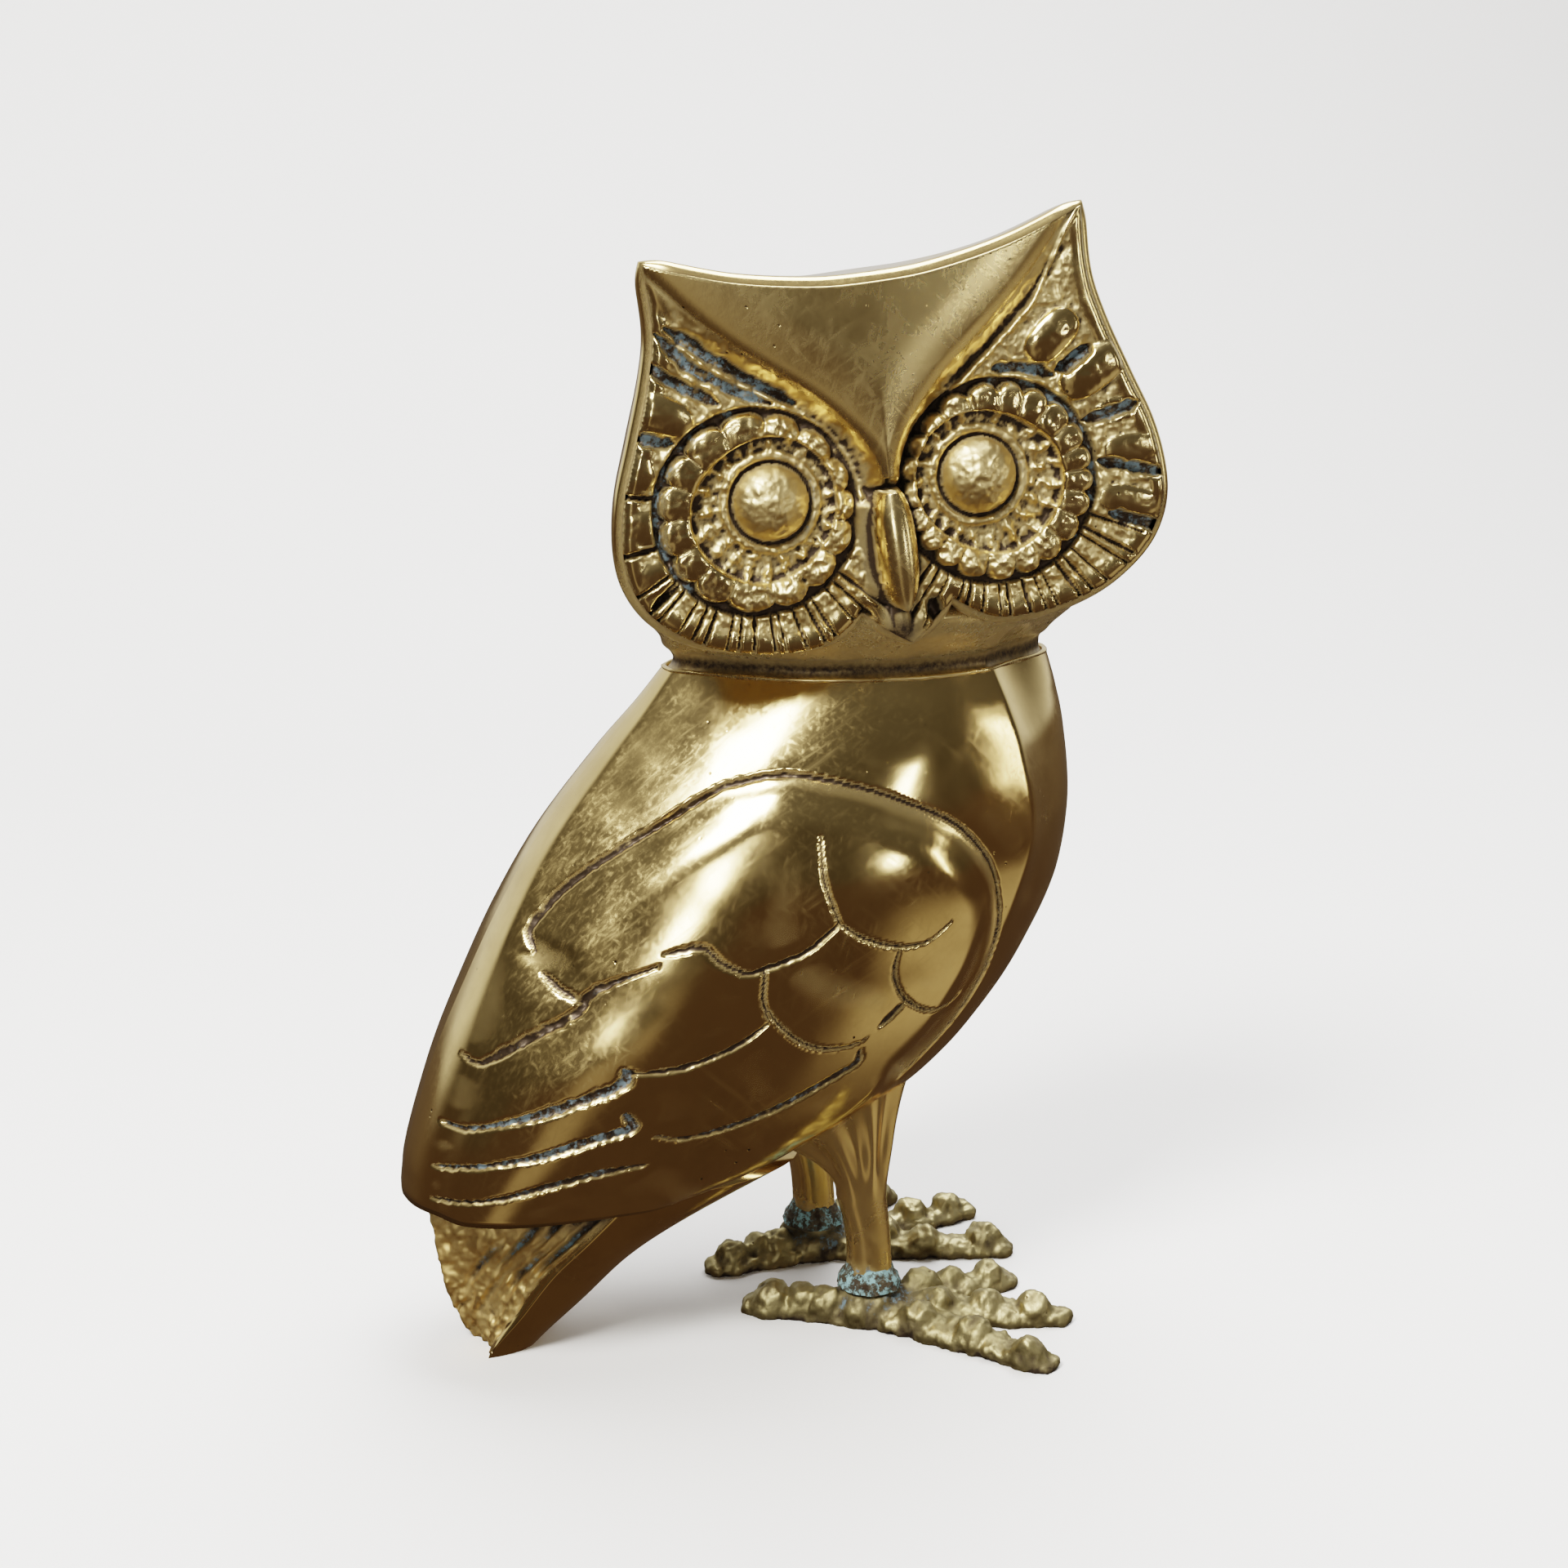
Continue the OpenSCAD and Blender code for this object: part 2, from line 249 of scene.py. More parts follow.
def blurred(grid: Array, reach: int) -> Array:
    """Blur a grid by box averages.

    Args:
        grid: Values, rows by columns.
        reach: How many cells an average reaches each way.

    Returns:
        The blurred grid.
    """
    out = grid.astype(float)
    for _ in range(2):
        for axis in (0, 1):
            pad = [(reach, reach) if k == axis else (0, 0) for k in (0, 1)]
            wide = np.pad(out, pad, mode="edge")
            run = np.cumsum(np.insert(wide, 0, 0, axis=axis), axis=axis)
            span = 2 * reach + 1
            upper = np.take(run, range(span, run.shape[axis]), axis=axis)
            lower = np.take(run, range(0, run.shape[axis] - span), axis=axis)
            out = (upper - lower) / span
    return out


# ---------------------------------------------------------------- meshes


def grid_faces(rows: int, columns: int, closed: bool = False, flip: bool = False, first: int = 0) -> Array:
    """Return the quads of a grid of points.

    Args:
        rows: Number of rows of points.
        columns: Number of points in a row.
        closed: Whether each row joins up into a ring.
        flip: Whether the faces look the other way.
        first: Number of the grid's first point.

    Returns:
        Four point numbers a row.
    """
    i, j = np.meshgrid(np.arange(rows - 1), np.arange(columns - (0 if closed else 1)), indexing="ij")
    k = (j + 1) % columns
    a, b = first + i * columns + j, first + i * columns + k
    quads = np.stack((a, b, b + columns, a + columns), axis=-1).reshape(-1, 4)
    return quads[:, ::-1] if flip else quads


def ring_cap(first: int, count: int, hub: int, flip: bool = False) -> Array:
    """Return the triangles that join a ring of points to a hub point.

    Args:
        first: Number of the ring's first point.
        count: Number of points in the ring.
        hub: Number of the hub point.
        flip: Whether the faces look the other way.

    Returns:
        Three point numbers a row.
    """
    a = first + np.arange(count)
    b = first + (np.arange(count) + 1) % count
    c = np.full(count, hub)
    tris = np.stack((a, b, c), axis=-1)
    return tris[:, ::-1] if flip else tris


@dataclass
class Skin:
    """A mesh in the making: points in millimetres, faces, and what each point looks like."""

    points: Array
    faces: List[Array]
    looks: Dict[str, Array] = field(default_factory=dict)

    def mirrored(self) -> "Skin":
        """Return the same skin on the other side of the middle plane."""
        return Skin(self.points * (1, -1, 1), [f[:, ::-1] for f in self.faces], dict(self.looks))

    def build(self, name: str, material: bpy.types.Material, slot: str,
              nodes: Sequence[str]) -> bpy.types.Object:
        """Make the object, dress it, hang it on the root body and hide the CAD nodes that it stands for.

        Args:
            name: The piece's name.
            material: Its finish.
            slot: Not used.
            nodes: The CAD nodes that it stands for.

        Returns:
            The new object.
        """
        mesh = bpy.data.meshes.new(name)
        co = (self.points + SHIFT) * MM
        mesh.vertices.add(len(co))
        mesh.vertices.foreach_set("co", co.astype(np.float32).ravel())
        loops = np.concatenate([f.ravel() for f in self.faces])
        sizes = np.concatenate([np.full(len(f), f.shape[1]) for f in self.faces])
        mesh.loops.add(len(loops))
        mesh.loops.foreach_set("vertex_index", loops.astype(np.int32))
        mesh.polygons.add(len(sizes))
        mesh.polygons.foreach_set("loop_start", np.r_[0, np.cumsum(sizes)[:-1]].astype(np.int32))
        mesh.update(calc_edges=True)
        mesh.validate()
        mesh.shade_smooth()
        for key, values in self.looks.items():
            layer = mesh.attributes.new(key, "FLOAT", "POINT")
            layer.data.foreach_set("value", values.astype(np.float32))
        mesh.materials.append(material)
        piece = bpy.data.objects.new(name, mesh)
        bpy.context.scene.collection.objects.link(piece)
        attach(piece, "root")
        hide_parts(*nodes)
        LOG.info("%s: %d points, %d faces", name, len(co), len(sizes))
        return piece


def grid_normals(points: Array) -> Array:
    """Work out the normals of a grid of points.

    Args:
        points: Positions, rows by columns by three.

    Returns:
        Unit normals in the same layout.
    """
    across = np.gradient(points, axis=1)
    up = np.gradient(points, axis=0)
    n = np.cross(across, up)
    return n / np.maximum(np.linalg.norm(n, axis=-1, keepdims=True), 1e-9)


# ---------------------------------------------------------------- shader nodes

Value = Union["Sock", float]


@dataclass(frozen=True)
class Sock:
    """An output socket with arithmetic, so that shader maths reads as an expression."""

    tree: "Nodes"
    out: bpy.types.NodeSocket

    def _math(self, operation: str, a: Value, b: Value = 0.0, clamp: bool = False) -> "Sock":
        """Return a Math node's result."""
        return self.tree.add("ShaderNodeMath", {"operation": operation, "use_clamp": clamp}, {0: a, 1: b})

    def __add__(self, other: Value) -> "Sock":
        """Return self + other."""
        return self._math("ADD", self, other)

    __radd__ = __add__

    def __sub__(self, other: Value) -> "Sock":
        """Return self - other."""
        return self._math("SUBTRACT", self, other)

    def __rsub__(self, other: Value) -> "Sock":
        """Return other - self."""
        return self._math("SUBTRACT", other, self)

    def __mul__(self, other: Value) -> "Sock":
        """Return self times other."""
        return self._math("MULTIPLY", self, other)

    __rmul__ = __mul__

    def clamped(self) -> "Sock":
        """Return self held between 0 and 1."""
        return self._math("ADD", self, 0.0, clamp=True)

    def most(self, other: Value) -> "Sock":
        """Return the larger of self and other."""
        return self._math("MAXIMUM", self, other)

    def rise(self, low: float, high: float) -> "Sock":
        """Return a smooth rise from 0 at low to 1 at high."""
        return self.tree.add("ShaderNodeMapRange", {"interpolation_type": "SMOOTHSTEP"},
                             {"Value": self, "From Min": low, "From Max": high})


class Nodes:
    """The node tree of one material or world."""

    def __init__(self, tree: bpy.types.NodeTree) -> None:
        """Start from an empty tree."""
        self.tree = tree
        tree.nodes.clear()

    def add(self, kind: str, settings: Optional[Dict[str, object]] = None,
            sockets: Optional[Dict[Union[str, int], object]] = None, output: Union[str, int] = 0) -> Sock:
        """Add a node.

        Args:
            kind: The node's type.
            settings: Its properties, set first.
            sockets: Values or links of its inputs.
            output: The output to return.

        Returns:
            The chosen output.
        """
        node = self.tree.nodes.new(kind)
        for key, value in (settings or {}).items():
            setattr(node, key, value)
        for key, value in (sockets or {}).items():
            if isinstance(value, Sock):
                self.tree.links.new(value.out, node.inputs[key])
            else:
                node.inputs[key].default_value = value
        return Sock(self, node.outputs[output] if len(node.outputs) else None)

    def look(self, name: str) -> Sock:
        """Return one of the mesh's own values, such as how deep a point lies in a groove."""
        return self.add("ShaderNodeAttribute", {"attribute_name": name}, output="Fac")

    def place(self, stretch: Tuple[float, float, float] = (1, 1, 1),
              turn: Tuple[float, float, float] = (0, 0, 0)) -> Sock:
        """Return object positions.

        Args:
            stretch: Scale along each axis, below 1 for longer patterns.
            turn: Turn about each axis before the stretch, in radians.

        Returns:
            The positions.
        """
        at = self.add("ShaderNodeTexCoord", output="Object")
        turned = self.add("ShaderNodeMapping", {}, {"Vector": at, "Rotation": turn})
        return self.add("ShaderNodeMapping", {}, {"Vector": turned, "Scale": stretch})

    def noise(self, scale: float, detail: float = 2.0, at: Optional[Sock] = None, rough: float = 0.5,
              twist: float = 0.0) -> Sock:
        """Return noise from 0 to 1.

        Args:
            scale: Lumps a metre.
            detail: Number of finer layers.
            at: Positions to take it at.
            rough: Strength of the finer layers.
            twist: How much it is twisted.

        Returns:
            The noise.
        """
        sockets = {"Vector": at or self.place(), "Scale": scale, "Detail": detail, "Roughness": rough,
                   "Distortion": twist}
        return self.add("ShaderNodeTexNoise", {}, sockets)

    def cells(self, scale: float) -> Sock:
        """Return the distance to the nearest of many scattered dots."""
        return self.add("ShaderNodeTexVoronoi", {}, {"Vector": self.place(), "Scale": scale})

    def blend(self, t: Value, a: Union[Sock, Colour], b: Union[Sock, Colour]) -> Sock:
        """Blend two colours.

        Args:
            t: The share of the second colour.
            a: The first colour.
            b: The second colour.

        Returns:
            The blend.
        """
        sockets = {0: t, 6: a if isinstance(a, Sock) else (*a, 1), 7: b if isinstance(b, Sock) else (*b, 1)}
        return self.add("ShaderNodeMix", {"data_type": "RGBA", "clamp_factor": True}, sockets, output=2)


@dataclass(frozen=True)
class Brass:
    """A brass finish: how clean, how rough and how scratched the metal is, the dark oxide in its hollows,
    and the painted shade that some pieces lay on in the same dark colour.
    """

    name: str
    bright: Colour = (0.86, 0.64, 0.29)
    dull: Colour = (0.70, 0.51, 0.22)
    # Dark colour for the oxide in hollows and for painted shade.
    patina_and_shade_colour: Colour = (0.040, 0.026, 0.015)
    verdigris: Colour = (0.085, 0.120, 0.135)
    smooth: float = 0.10
    rough: float = 0.28
    scratches: float = 1.0
    grain: float = 0.0
    blotch: float = 1.0

    def scratch_lines(self, nodes: Nodes, turn: Tuple[float, float, float], scale: float) -> Sock:
        """Return fine straight lines that run one way, 1 on a line.

        Args:
            nodes: The material's nodes.
            turn: The direction they run in.
            scale: How close they lie.

        Returns:
            The lines' strength.
        """
        at = nodes.place((0.03, 1, 1), turn)
        lines = nodes.noise(scale, 2.0, at)
        patches = nodes.noise(60, 2.0).rise(0.35, 0.65)
        return lines.rise(0.45, 0.85) * patches

    def build(self) -> bpy.types.Material:
        """Build the finish.

        Returns:
            A new material.
        """
        material = bpy.data.materials.new(self.name)
        material.use_nodes = True
        nodes = Nodes(material.node_tree)
        cavity, green, cast = nodes.look("cavity"), nodes.look("green"), nodes.look("cast")
        cloud = nodes.noise(55, 4.0, rough=0.6)
        speck = nodes.noise(1500, 3.0, rough=0.7)
        tarnish = nodes.noise(130, 5.0, rough=0.65, twist=0.4)
        pits = (1 - nodes.cells(430).rise(0.05, 0.11)) * nodes.noise(70, 1.0).rise(0.56, 0.66)
        scratches = self.scratch_lines(nodes, (0.1, 0.55, 0.1), 1500)
        scratches = scratches.most(self.scratch_lines(nodes, (0.0, -0.75, -0.1), 1300))
        scratches = scratches.most(self.scratch_lines(nodes, (-0.1, 1.35, 0.15), 1700))
        worn = (cloud * 0.7 + tarnish * 0.5 - 0.12).rise(0.32, 0.72) * self.blotch
        skin = nodes.blend(worn, self.bright, self.dull)
        # The mesh's cavity values hold real oxide in hollows and, on some pieces, painted shade under the
        # body, in seams, under the head and wings and by the floor; both darken the metal here.
        patina_and_shade = (cavity.most(green * 0.85) * (0.75 + 0.6 * speck)).clamped()
        skin = nodes.blend(patina_and_shade.most(pits * 0.9), skin, self.patina_and_shade_colour)
        powder = (green * (speck * 2.0 + nodes.noise(520, 4.0, rough=0.7) * 2.2 - 1.65)).rise(0.25, 0.75)
        skin = nodes.blend(powder, skin, self.verdigris)
        roughness = self.smooth + (self.rough - self.smooth) * (worn * 0.55 + cast * 0.9)
        roughness = roughness + scratches * 0.14 * self.scratches + patina_and_shade * 0.25 + powder * 0.4
        height = speck * (0.10 * self.grain + 0.02) + nodes.noise(4200, 2.0) * (0.05 * self.grain)
        height = height + cast * speck * 0.25 - scratches * (0.006 * self.scratches) - pits * 0.35
        normal = nodes.add("ShaderNodeBump", {}, {"Strength": 0.6, "Distance": 0.0002, "Height": height})
        surface = nodes.add("ShaderNodeBsdfPrincipled", {}, {
            "Base Color": skin, "Metallic": (1 - powder * 0.95 - patina_and_shade * 0.35).clamped(),
            "Roughness": roughness.clamped(), "Normal": normal})
        nodes.add("ShaderNodeOutputMaterial", {}, {"Surface": surface})
        return material


class Finish(Enum):
    """The finishes that the castings wear."""

    POLISHED = Brass("polished_brass")
    FACE = Brass("face_brass", bright=(0.80, 0.62, 0.30), dull=(0.64, 0.48, 0.22), smooth=0.15, rough=0.44,
                 grain=0.5, scratches=0.7, blotch=0.6)
    CAST = Brass("cast_brass", bright=(0.35, 0.29, 0.15), dull=(0.21, 0.175, 0.085), smooth=0.24, rough=0.5,
                 grain=1.6, scratches=0.2)
    LEG = Brass("leg_brass", bright=(0.84, 0.61, 0.26), dull=(0.66, 0.46, 0.19), smooth=0.10, rough=0.4)
    BRAZE = Brass("braze", bright=(0.34, 0.30, 0.20), dull=(0.12, 0.12, 0.10), verdigris=(0.15, 0.26, 0.27),
                  smooth=0.35, rough=0.6, grain=2.0, scratches=0.0)

    @cache
    def material(self) -> bpy.types.Material:
        """Return the finish's material, built the first time that it is asked for."""
        return self.value.build()


# ---------------------------------------------------------------- body and wings


@dataclass(frozen=True)
class Groove:
    """A groove cut along a curve in the flank: its points along X and up, its width and its depth."""

    points: Tuple[Point, ...]
    width: float = 0.75
    depth: float = 0.5
    taper: Tuple[float, float] = (0.25, 0.25)
    green: float = 0.5

    def cut(self, flat: Array, wobble: Array) -> Array:
        """Return how deep each flat point lies in the groove, from 0 to 1.

        Args:
            flat: Positions along X and up.
            wobble: Noise that roughens the edges.

        Returns:
            One value a point.
        """
        line = catmull(self.points, 6)
        low, high = line.min(axis=0) - 2, line.max(axis=0) + 2
        near = np.where(((flat > low) & (flat < high)).all(axis=1))[0]
        out = np.zeros(len(flat))
        r, along = distance_to_line(flat[near], line)
        ends = smoothstep(along, -0.02, self.taper[0]) * smoothstep(1 - along, -0.02, self.taper[1])
        half = self.width * (0.35 + 0.65 * ends) * (1 + 0.28 * wobble[near])
        out[near] = 1 - smoothstep(r, half * 0.32, half * 0.8)
        return out


@dataclass
class Body:
    """The two hollow body castings, with their wings in relief."""

    # level, back, front, half width, back strip's half width, front crease along X and across, sharpness
    rows: Tuple[Tuple[float, ...], ...] = (
        (FLOOR, -50.5, 2, 15, 8, -19, 12.5, 0.0, 0.9), (24.6, -50.2, 7.4, 16.3, 8, -9.4, 13.8, 0.0, 0.9),
        (28, -49.7, 13.4, 17.8, 8, 0.5, 14.6, 0.05, 0.7), (34, -48, 22, 19.8, 8, 11.5, 16, 0.1, 0.45),
        (42, -45.2, 30.6, 21.7, 8, 19.5, 17, 0.3, 0.4), (50, -41.6, 36.8, 22.8, 7, 24.4, 18, 0.7, 0.5),
        (60, -36.6, 42, 23.3, 6, 29, 18.6, 1.0, 0.8), (70, -30.6, 43.6, 23, 5, 31.7, 18.4, 1.0, 1.0),
        (80, -22.6, 43, 21.2, 4, 30.2, 17.4, 1.0, 1.0), (86, -17.2, 41.8, 19.2, 3, 28.6, 16, 1.0, 1.0),
        (MOUTH, -13.5, 40.5, 17.2, 2.4, 27.2, 14.4, 1.0, 1.0))
    wing_edge: Tuple[Point, ...] = (
        (-34, 56.8), (-34.2, 59.4), (-31.7, 62.6), (-28.3, 66), (-20.4, 71.8), (-12, 77.3), (-7.7, 78.9),
        (-2.4, 79.7), (4.5, 78.3), (10.9, 76.1), (19.2, 72), (24.8, 65.7), (26.6, 59), (25.8, 51.3),
        (23.2, 46.3), (19.2, 41.5), (14.6, 37.4))
    wing_rise: float = 1.3
    floor_round: float = 1.1
    floor_rise: float = 0.6
    strip_steps: int = 14
    flank_steps: Tuple[int, int] = (150, 112)
    breast_steps: int = 46
    level_step: float = 0.29

    def grooves(self) -> List[Groove]:
        """List the feather lines of one wing.

        Returns:
            The grooves, with the wing's own edge first.
        """
        return [
            Groove(self.wing_edge[:6], 0.6, 0.4, (0.05, 0.3), 0.1),
            Groove(self.wing_edge[4:13], 0.55, 0.35, (0.1, 0.3), 0.0),
            Groove(self.wing_edge[11:], 0.35, 0.25, (0.2, 0.5), 0.0),
            Groove(((0.1, 72.2), (0.2, 66.7), (1.9, 61.4)), 0.4, 0.35, (0.5, 0.1), 0.0),
            Groove(((1.9, 61.4), (5.1, 59.2), (9.7, 57.7), (13.9, 57.8), (17.5, 59.9)),
                   0.42, 0.4, (0.1, 0.5), 0.1),
            Groove(((1.9, 61.4), (-2.3, 57.8), (-7.1, 56.1), (-9.8, 55.5), (-12.9, 56.9), (-15, 58.7),
                    (-19.4, 57.8)), 0.6, 0.45, (0.1, 0.1), 0.1),
            Groove(((-7.5, 55.7), (-7.8, 52), (-7.1, 49.1)), 0.45, 0.4, (0.1, 0.1), 0.1),
            Groove(((-7.6, 51.2), (-5.4, 48), (-2, 45.3), (1.5, 44.3), (5, 44.5), (6.4, 45.1)), 0.42, 0.35,
                   green=0.2),
            Groove(((-7.1, 48.7), (-11.1, 46.1), (-16.6, 44.1), (-21.7, 43.2), (-25.1, 43.3)),
                   0.6, 0.45, green=0.2),
            Groove(((9.8, 57.2), (9.5, 53.9), (11.3, 50.1), (14.9, 47.6), (18.9, 47.2), (21.2, 48.5)),
                   0.42, 0.4, (0.1, 0.5), 0.1),
            Groove(((11.4, 49.1), (8, 46.4)), 0.7, 0.4, (0.1, 0.3), 0.2),
            Groove(((5.6, 43.4), (5.3, 41.6), (2, 39.8), (-3.8, 37.1), (-10.5, 34.9), (-17.3, 33.7),
                    (-21.5, 34.5)), 0.8, 0.5, (0.05, 0.6), 0.6),
            Groove(((-25.1, 43.4), (-25.3, 41.9), (-31.1, 39.3), (-38, 36.4), (-43.2, 34.5), (-46, 34.3)),
                   1.2, 0.7, (0.02, 0.8), 0.9),
            Groove(((-25.1, 37.6), (-24.4, 35.8), (-28.8, 34.5), (-34.5, 32.5), (-40.5, 30.6),
                    (-47.3, 28.6)), 1.1, 0.7, (0.02, 0.8), 0.9),
            Groove(((-22.5, 30.3), (-28.6, 29.6), (-34.5, 28.1), (-40.6, 26.1), (-48, 24.2)), 0.85, 0.55,
                   (0.2, 0.7), 0.6),
            Groove(((-20.3, 56.3), (-25, 54.3), (-28.3, 52.4), (-29.6, 50.4), (-33.5, 47.8), (-38.1, 44.8),
                    (-41.6, 42.6), (-43.1, 43.2)), 0.9, 0.6, (0.4, 0.2), 0.4),
            Groove(((-33.4, 54.4), (-30.8, 52.4), (-29.2, 51.6)), 0.8, 0.5, (0.3, 0.1), 0.4)]

    def rows_at(self, levels: Array) -> Array:
        """Return the table's row at each level, smooth between its own rows."""
        fine = catmull(self.rows, 40)
        return np.stack([np.interp(levels, fine[:, 0], fine[:, k]) for k in range(fine.shape[1])], axis=1)

    def half_section(self, row: Array) -> Array:
        """Draw half of one level's outline.

        Args:
            row: The level's row of the table.

        Returns:
            Points from the back round the -Y side to the breast.
        """
        _, back, front, half, strip, crease_x, crease_y, back_k, front_k = row
        first = np.array((back, 0.0))
        edge = np.array((back + strip * mix(0.30, 0.13, back_k), -strip))
        wide = np.array(((back + front) / 2 + 2 * back_k, -half))
        crease = np.array((crease_x, -crease_y))
        last = np.array((front, 0.0))
        a0, a1 = mix(34, 12, back_k), mix(34, 44, back_k)
        span = np.linalg.norm(wide - edge)
        chord = math.degrees(math.atan2(*(crease - wide)[::-1]))
        b0 = mix(chord * 2.2, chord * 1.55, front_k)
        b1 = mix(chord * 2.2, 50, front_k)
        gap, nose = np.linalg.norm(crease - wide), np.linalg.norm(last - crease)
        back_strip = bezier(first, first + (0, -strip * 0.5), edge - heading(a0 - 90) * strip * 0.3, edge,
                            self.strip_steps)
        rear = bezier(edge, edge + heading(a1 - 90) * span * 0.40, wide - (span * 0.42, 0), wide, 200)
        fore = bezier(wide, wide + (gap * 0.35, 0), crease - heading(b0) * gap * 0.35, crease, 200)
        rear = spaced(np.vstack((rear, [wide])), self.flank_steps[0] + 1)[:-1]
        fore = spaced(np.vstack((fore, [crease])), self.flank_steps[1] + 1)[:-1]
        breast = bezier(crease, crease + heading(b1) * nose * 0.36, last - (0, nose * 0.40), last,
                        self.breast_steps)
        line = np.vstack((back_strip, rear, fore, breast, [last]))
        for _ in range(10):
            line[1:-1] = (line[:-2] + 2 * line[1:-1] + line[2:]) / 4
        return line

    def skin(self) -> Skin:
        """Build the right half, with its wing.

        Returns:
            The skin.
        """
        r = self.floor_round
        levels = np.arange(FLOOR + r, MOUTH, self.level_step)
        rows = self.rows_at(np.r_[levels, MOUTH])
        lines = [np.c_[self.half_section(row), np.full(self.columns(), row[0])] for row in rows]
        points = np.array(lines)
        relief, cavity, green = self.relief(points)
        normal = grid_normals(points)
        points = points + normal * relief[..., None]
        points[:, (0, -1), 1] = 0
        under = []
        for angle in np.linspace(80, 0, 6):
            t = math.radians(angle)
            ring = points[0] - normal[0] * (1, 1, 0) * r * (1 - math.sin(t))
            ring[:, 2] = FLOOR + r * (1 - math.cos(math.pi / 2 - t))
            under.append(ring)
        inner = points[0].copy()
        inner[:, :2] = inner[:, :2] * (0.72, 0.6) + (-7.5, 0)
        inner[:, 2] = FLOOR + self.floor_rise
        stack = np.concatenate((np.array([inner] + under[::-1]), points))
        stack[:, (0, -1), 1] = 0
        extra = len(stack) - len(points)
        pad = ((extra, 0), (0, 0))
        count, width = stack.shape[:2]
        top_hub = len(stack.reshape(-1, 3))
        hub = np.array([[13.0, 0.0, MOUTH]])
        top = (count - 1) * width
        cap = np.array([[top + j, top + j + 1, top_hub] for j in range(width - 1)])
        looks = {"cavity": np.pad(cavity, pad), "green": np.pad(green, pad),
                 "cast": np.zeros((count, width))}
        # Painted shade: the floor and the lowest rows of its rounding are painted dark as the shade under
        # the body.
        looks["cavity"][:extra - 2] = 0.9
        return Skin(np.vstack((stack.reshape(-1, 3), hub)), [grid_faces(count, width), cap],
                    {k: np.r_[v.ravel(), 0.0] for k, v in looks.items()})

    def columns(self) -> int:
        """Return the number of points round one half section."""
        return self.strip_steps + sum(self.flank_steps) + self.breast_steps + 1

    def relief(self, points: Array) -> Tuple[Array, Array, Array]:
        """Work out the wing's cushion and grooves.

        Args:
            points: The plain skin's grid of points.

        Returns:
            The height above the plain skin, how dark each point is, and how green.
        """
        shape = points.shape[:2]
        flat = points.reshape(-1, 3)
        plane = flat[:, (0, 2)]
        edge = catmull(self.wing_edge, 6)
        loop = np.vstack((edge, ((5, 27), (-60, 15), (-60, 50))))
        inside = inside_loop(plane, loop)
        r, _ = distance_to_line(plane, edge)
        rise = np.where(inside, smoothstep(r, 0, 6.5), 0) * self.wing_rise
        column = np.tile(np.arange(shape[1]), shape[0])
        first, last = self.strip_steps, self.strip_steps + sum(self.flank_steps)
        rise *= smoothstep(column, first, first + 34) * (1 - smoothstep(column, last - 30, last + 4))
        rise -= bump_at(r, 0.3, 2.2) * 0.18 * inside
        mound = np.clip(1 - np.hypot((plane[:, 0] - 8.5) / 16, (plane[:, 1] - 62) / 13) ** 2, 0, 1)
        rise += 1.1 * mound * smoothstep(mound, 0, 0.9)
        wobble = rough_noise(flat, 0.55, 3, 2)
        cut, green = np.zeros(len(flat)), np.zeros(len(flat))
        height = rise.copy()
        for groove in self.grooves():
            depth = groove.cut(plane, wobble) * (flat[:, 1] < -3)
            height -= depth * groove.depth * (1 + 0.35 * rough_noise(flat, 0.8, 7, 2))
            cut = np.maximum(cut, depth)
            green = np.maximum(green, depth * groove.green)
        ripple = lattice_noise(flat * (1, 1, 1.4), 9, 11) * 0.10 + lattice_noise(flat, 4, 12) * 0.03
        height += ripple * smoothstep(column, first, first + 20)
        grid = height.reshape(shape)
        hollow = np.clip((blurred(grid, 4) - grid) / 0.22, 0, 1)
        cavity = np.clip(cut.reshape(shape) * 0.45 + hollow * 0.7, 0, 1)
        return grid, cavity, green.reshape(shape)

    def build(self) -> List[bpy.types.Object]:
        """Make both halves."""
        material = Finish.POLISHED.material()
        right = self.skin()
        return [right.build("body_half_right", material, "polished_brass", ["body_right"]),
                right.mirrored().build("body_half_left", material, "polished_brass", ["body_left"])]


# ---------------------------------------------------------------- head


@dataclass(frozen=True)
class FaceFrame:
    """The face's own frame: across, up and out of the face."""

    middle: Tuple[float, float, float] = (9.8, -20.8, 116.8)
    yaw: float = -9.0
    roll: float = 7.5

    def place(self, across: Array, up: Array, out: Array) -> Array:
        """Move points from the face frame to the modelling frame.

        Args:
            across: Places across the face.
            up: Places up the face.
            out: Heights out of the face.

        Returns:
            Positions, three numbers a row.
        """
        c, s = math.cos(math.radians(self.roll)), math.sin(math.radians(self.roll))
        x, y, z = across * c - up * s, -out, across * s + up * c
        c, s = math.cos(math.radians(self.yaw)), math.sin(math.radians(self.yaw))
        return np.stack((x * c - y * s, x * s + y * c, z), axis=-1) + np.array(self.middle)


FACE = FaceFrame()
CROWN: Tuple[Point, ...] = ((0, 24.2), (7, 24.5), (17, 26.3), (27, 29.6))
CHEEK: Tuple[Point, ...] = ((27, 29.6), (26.9, 22), (28.2, 16), (30.8, 8.6), (33.2, 2), (34.2, -4),
                            (33.7, -8.6), (31.3, -12.8), (26.6, -16.4), (21.5, -18.4), (16, -19.3),
                            (10.5, -18.8), (5.8, -15.8))
CHIN: Tuple[Point, ...] = ((5.8, -15.8), (2.8, -18.6), (0, -20.6))


def face_outline() -> Array:
    """Return the outline of the face, clockwise from the middle of the crown."""
    half = np.vstack((catmull(CROWN, 12)[:-1], catmull(CHEEK, 8)[:-1], catmull(CHIN, 6)))
    return np.vstack((half, (half[1:-1] * (-1, 1))[::-1]))


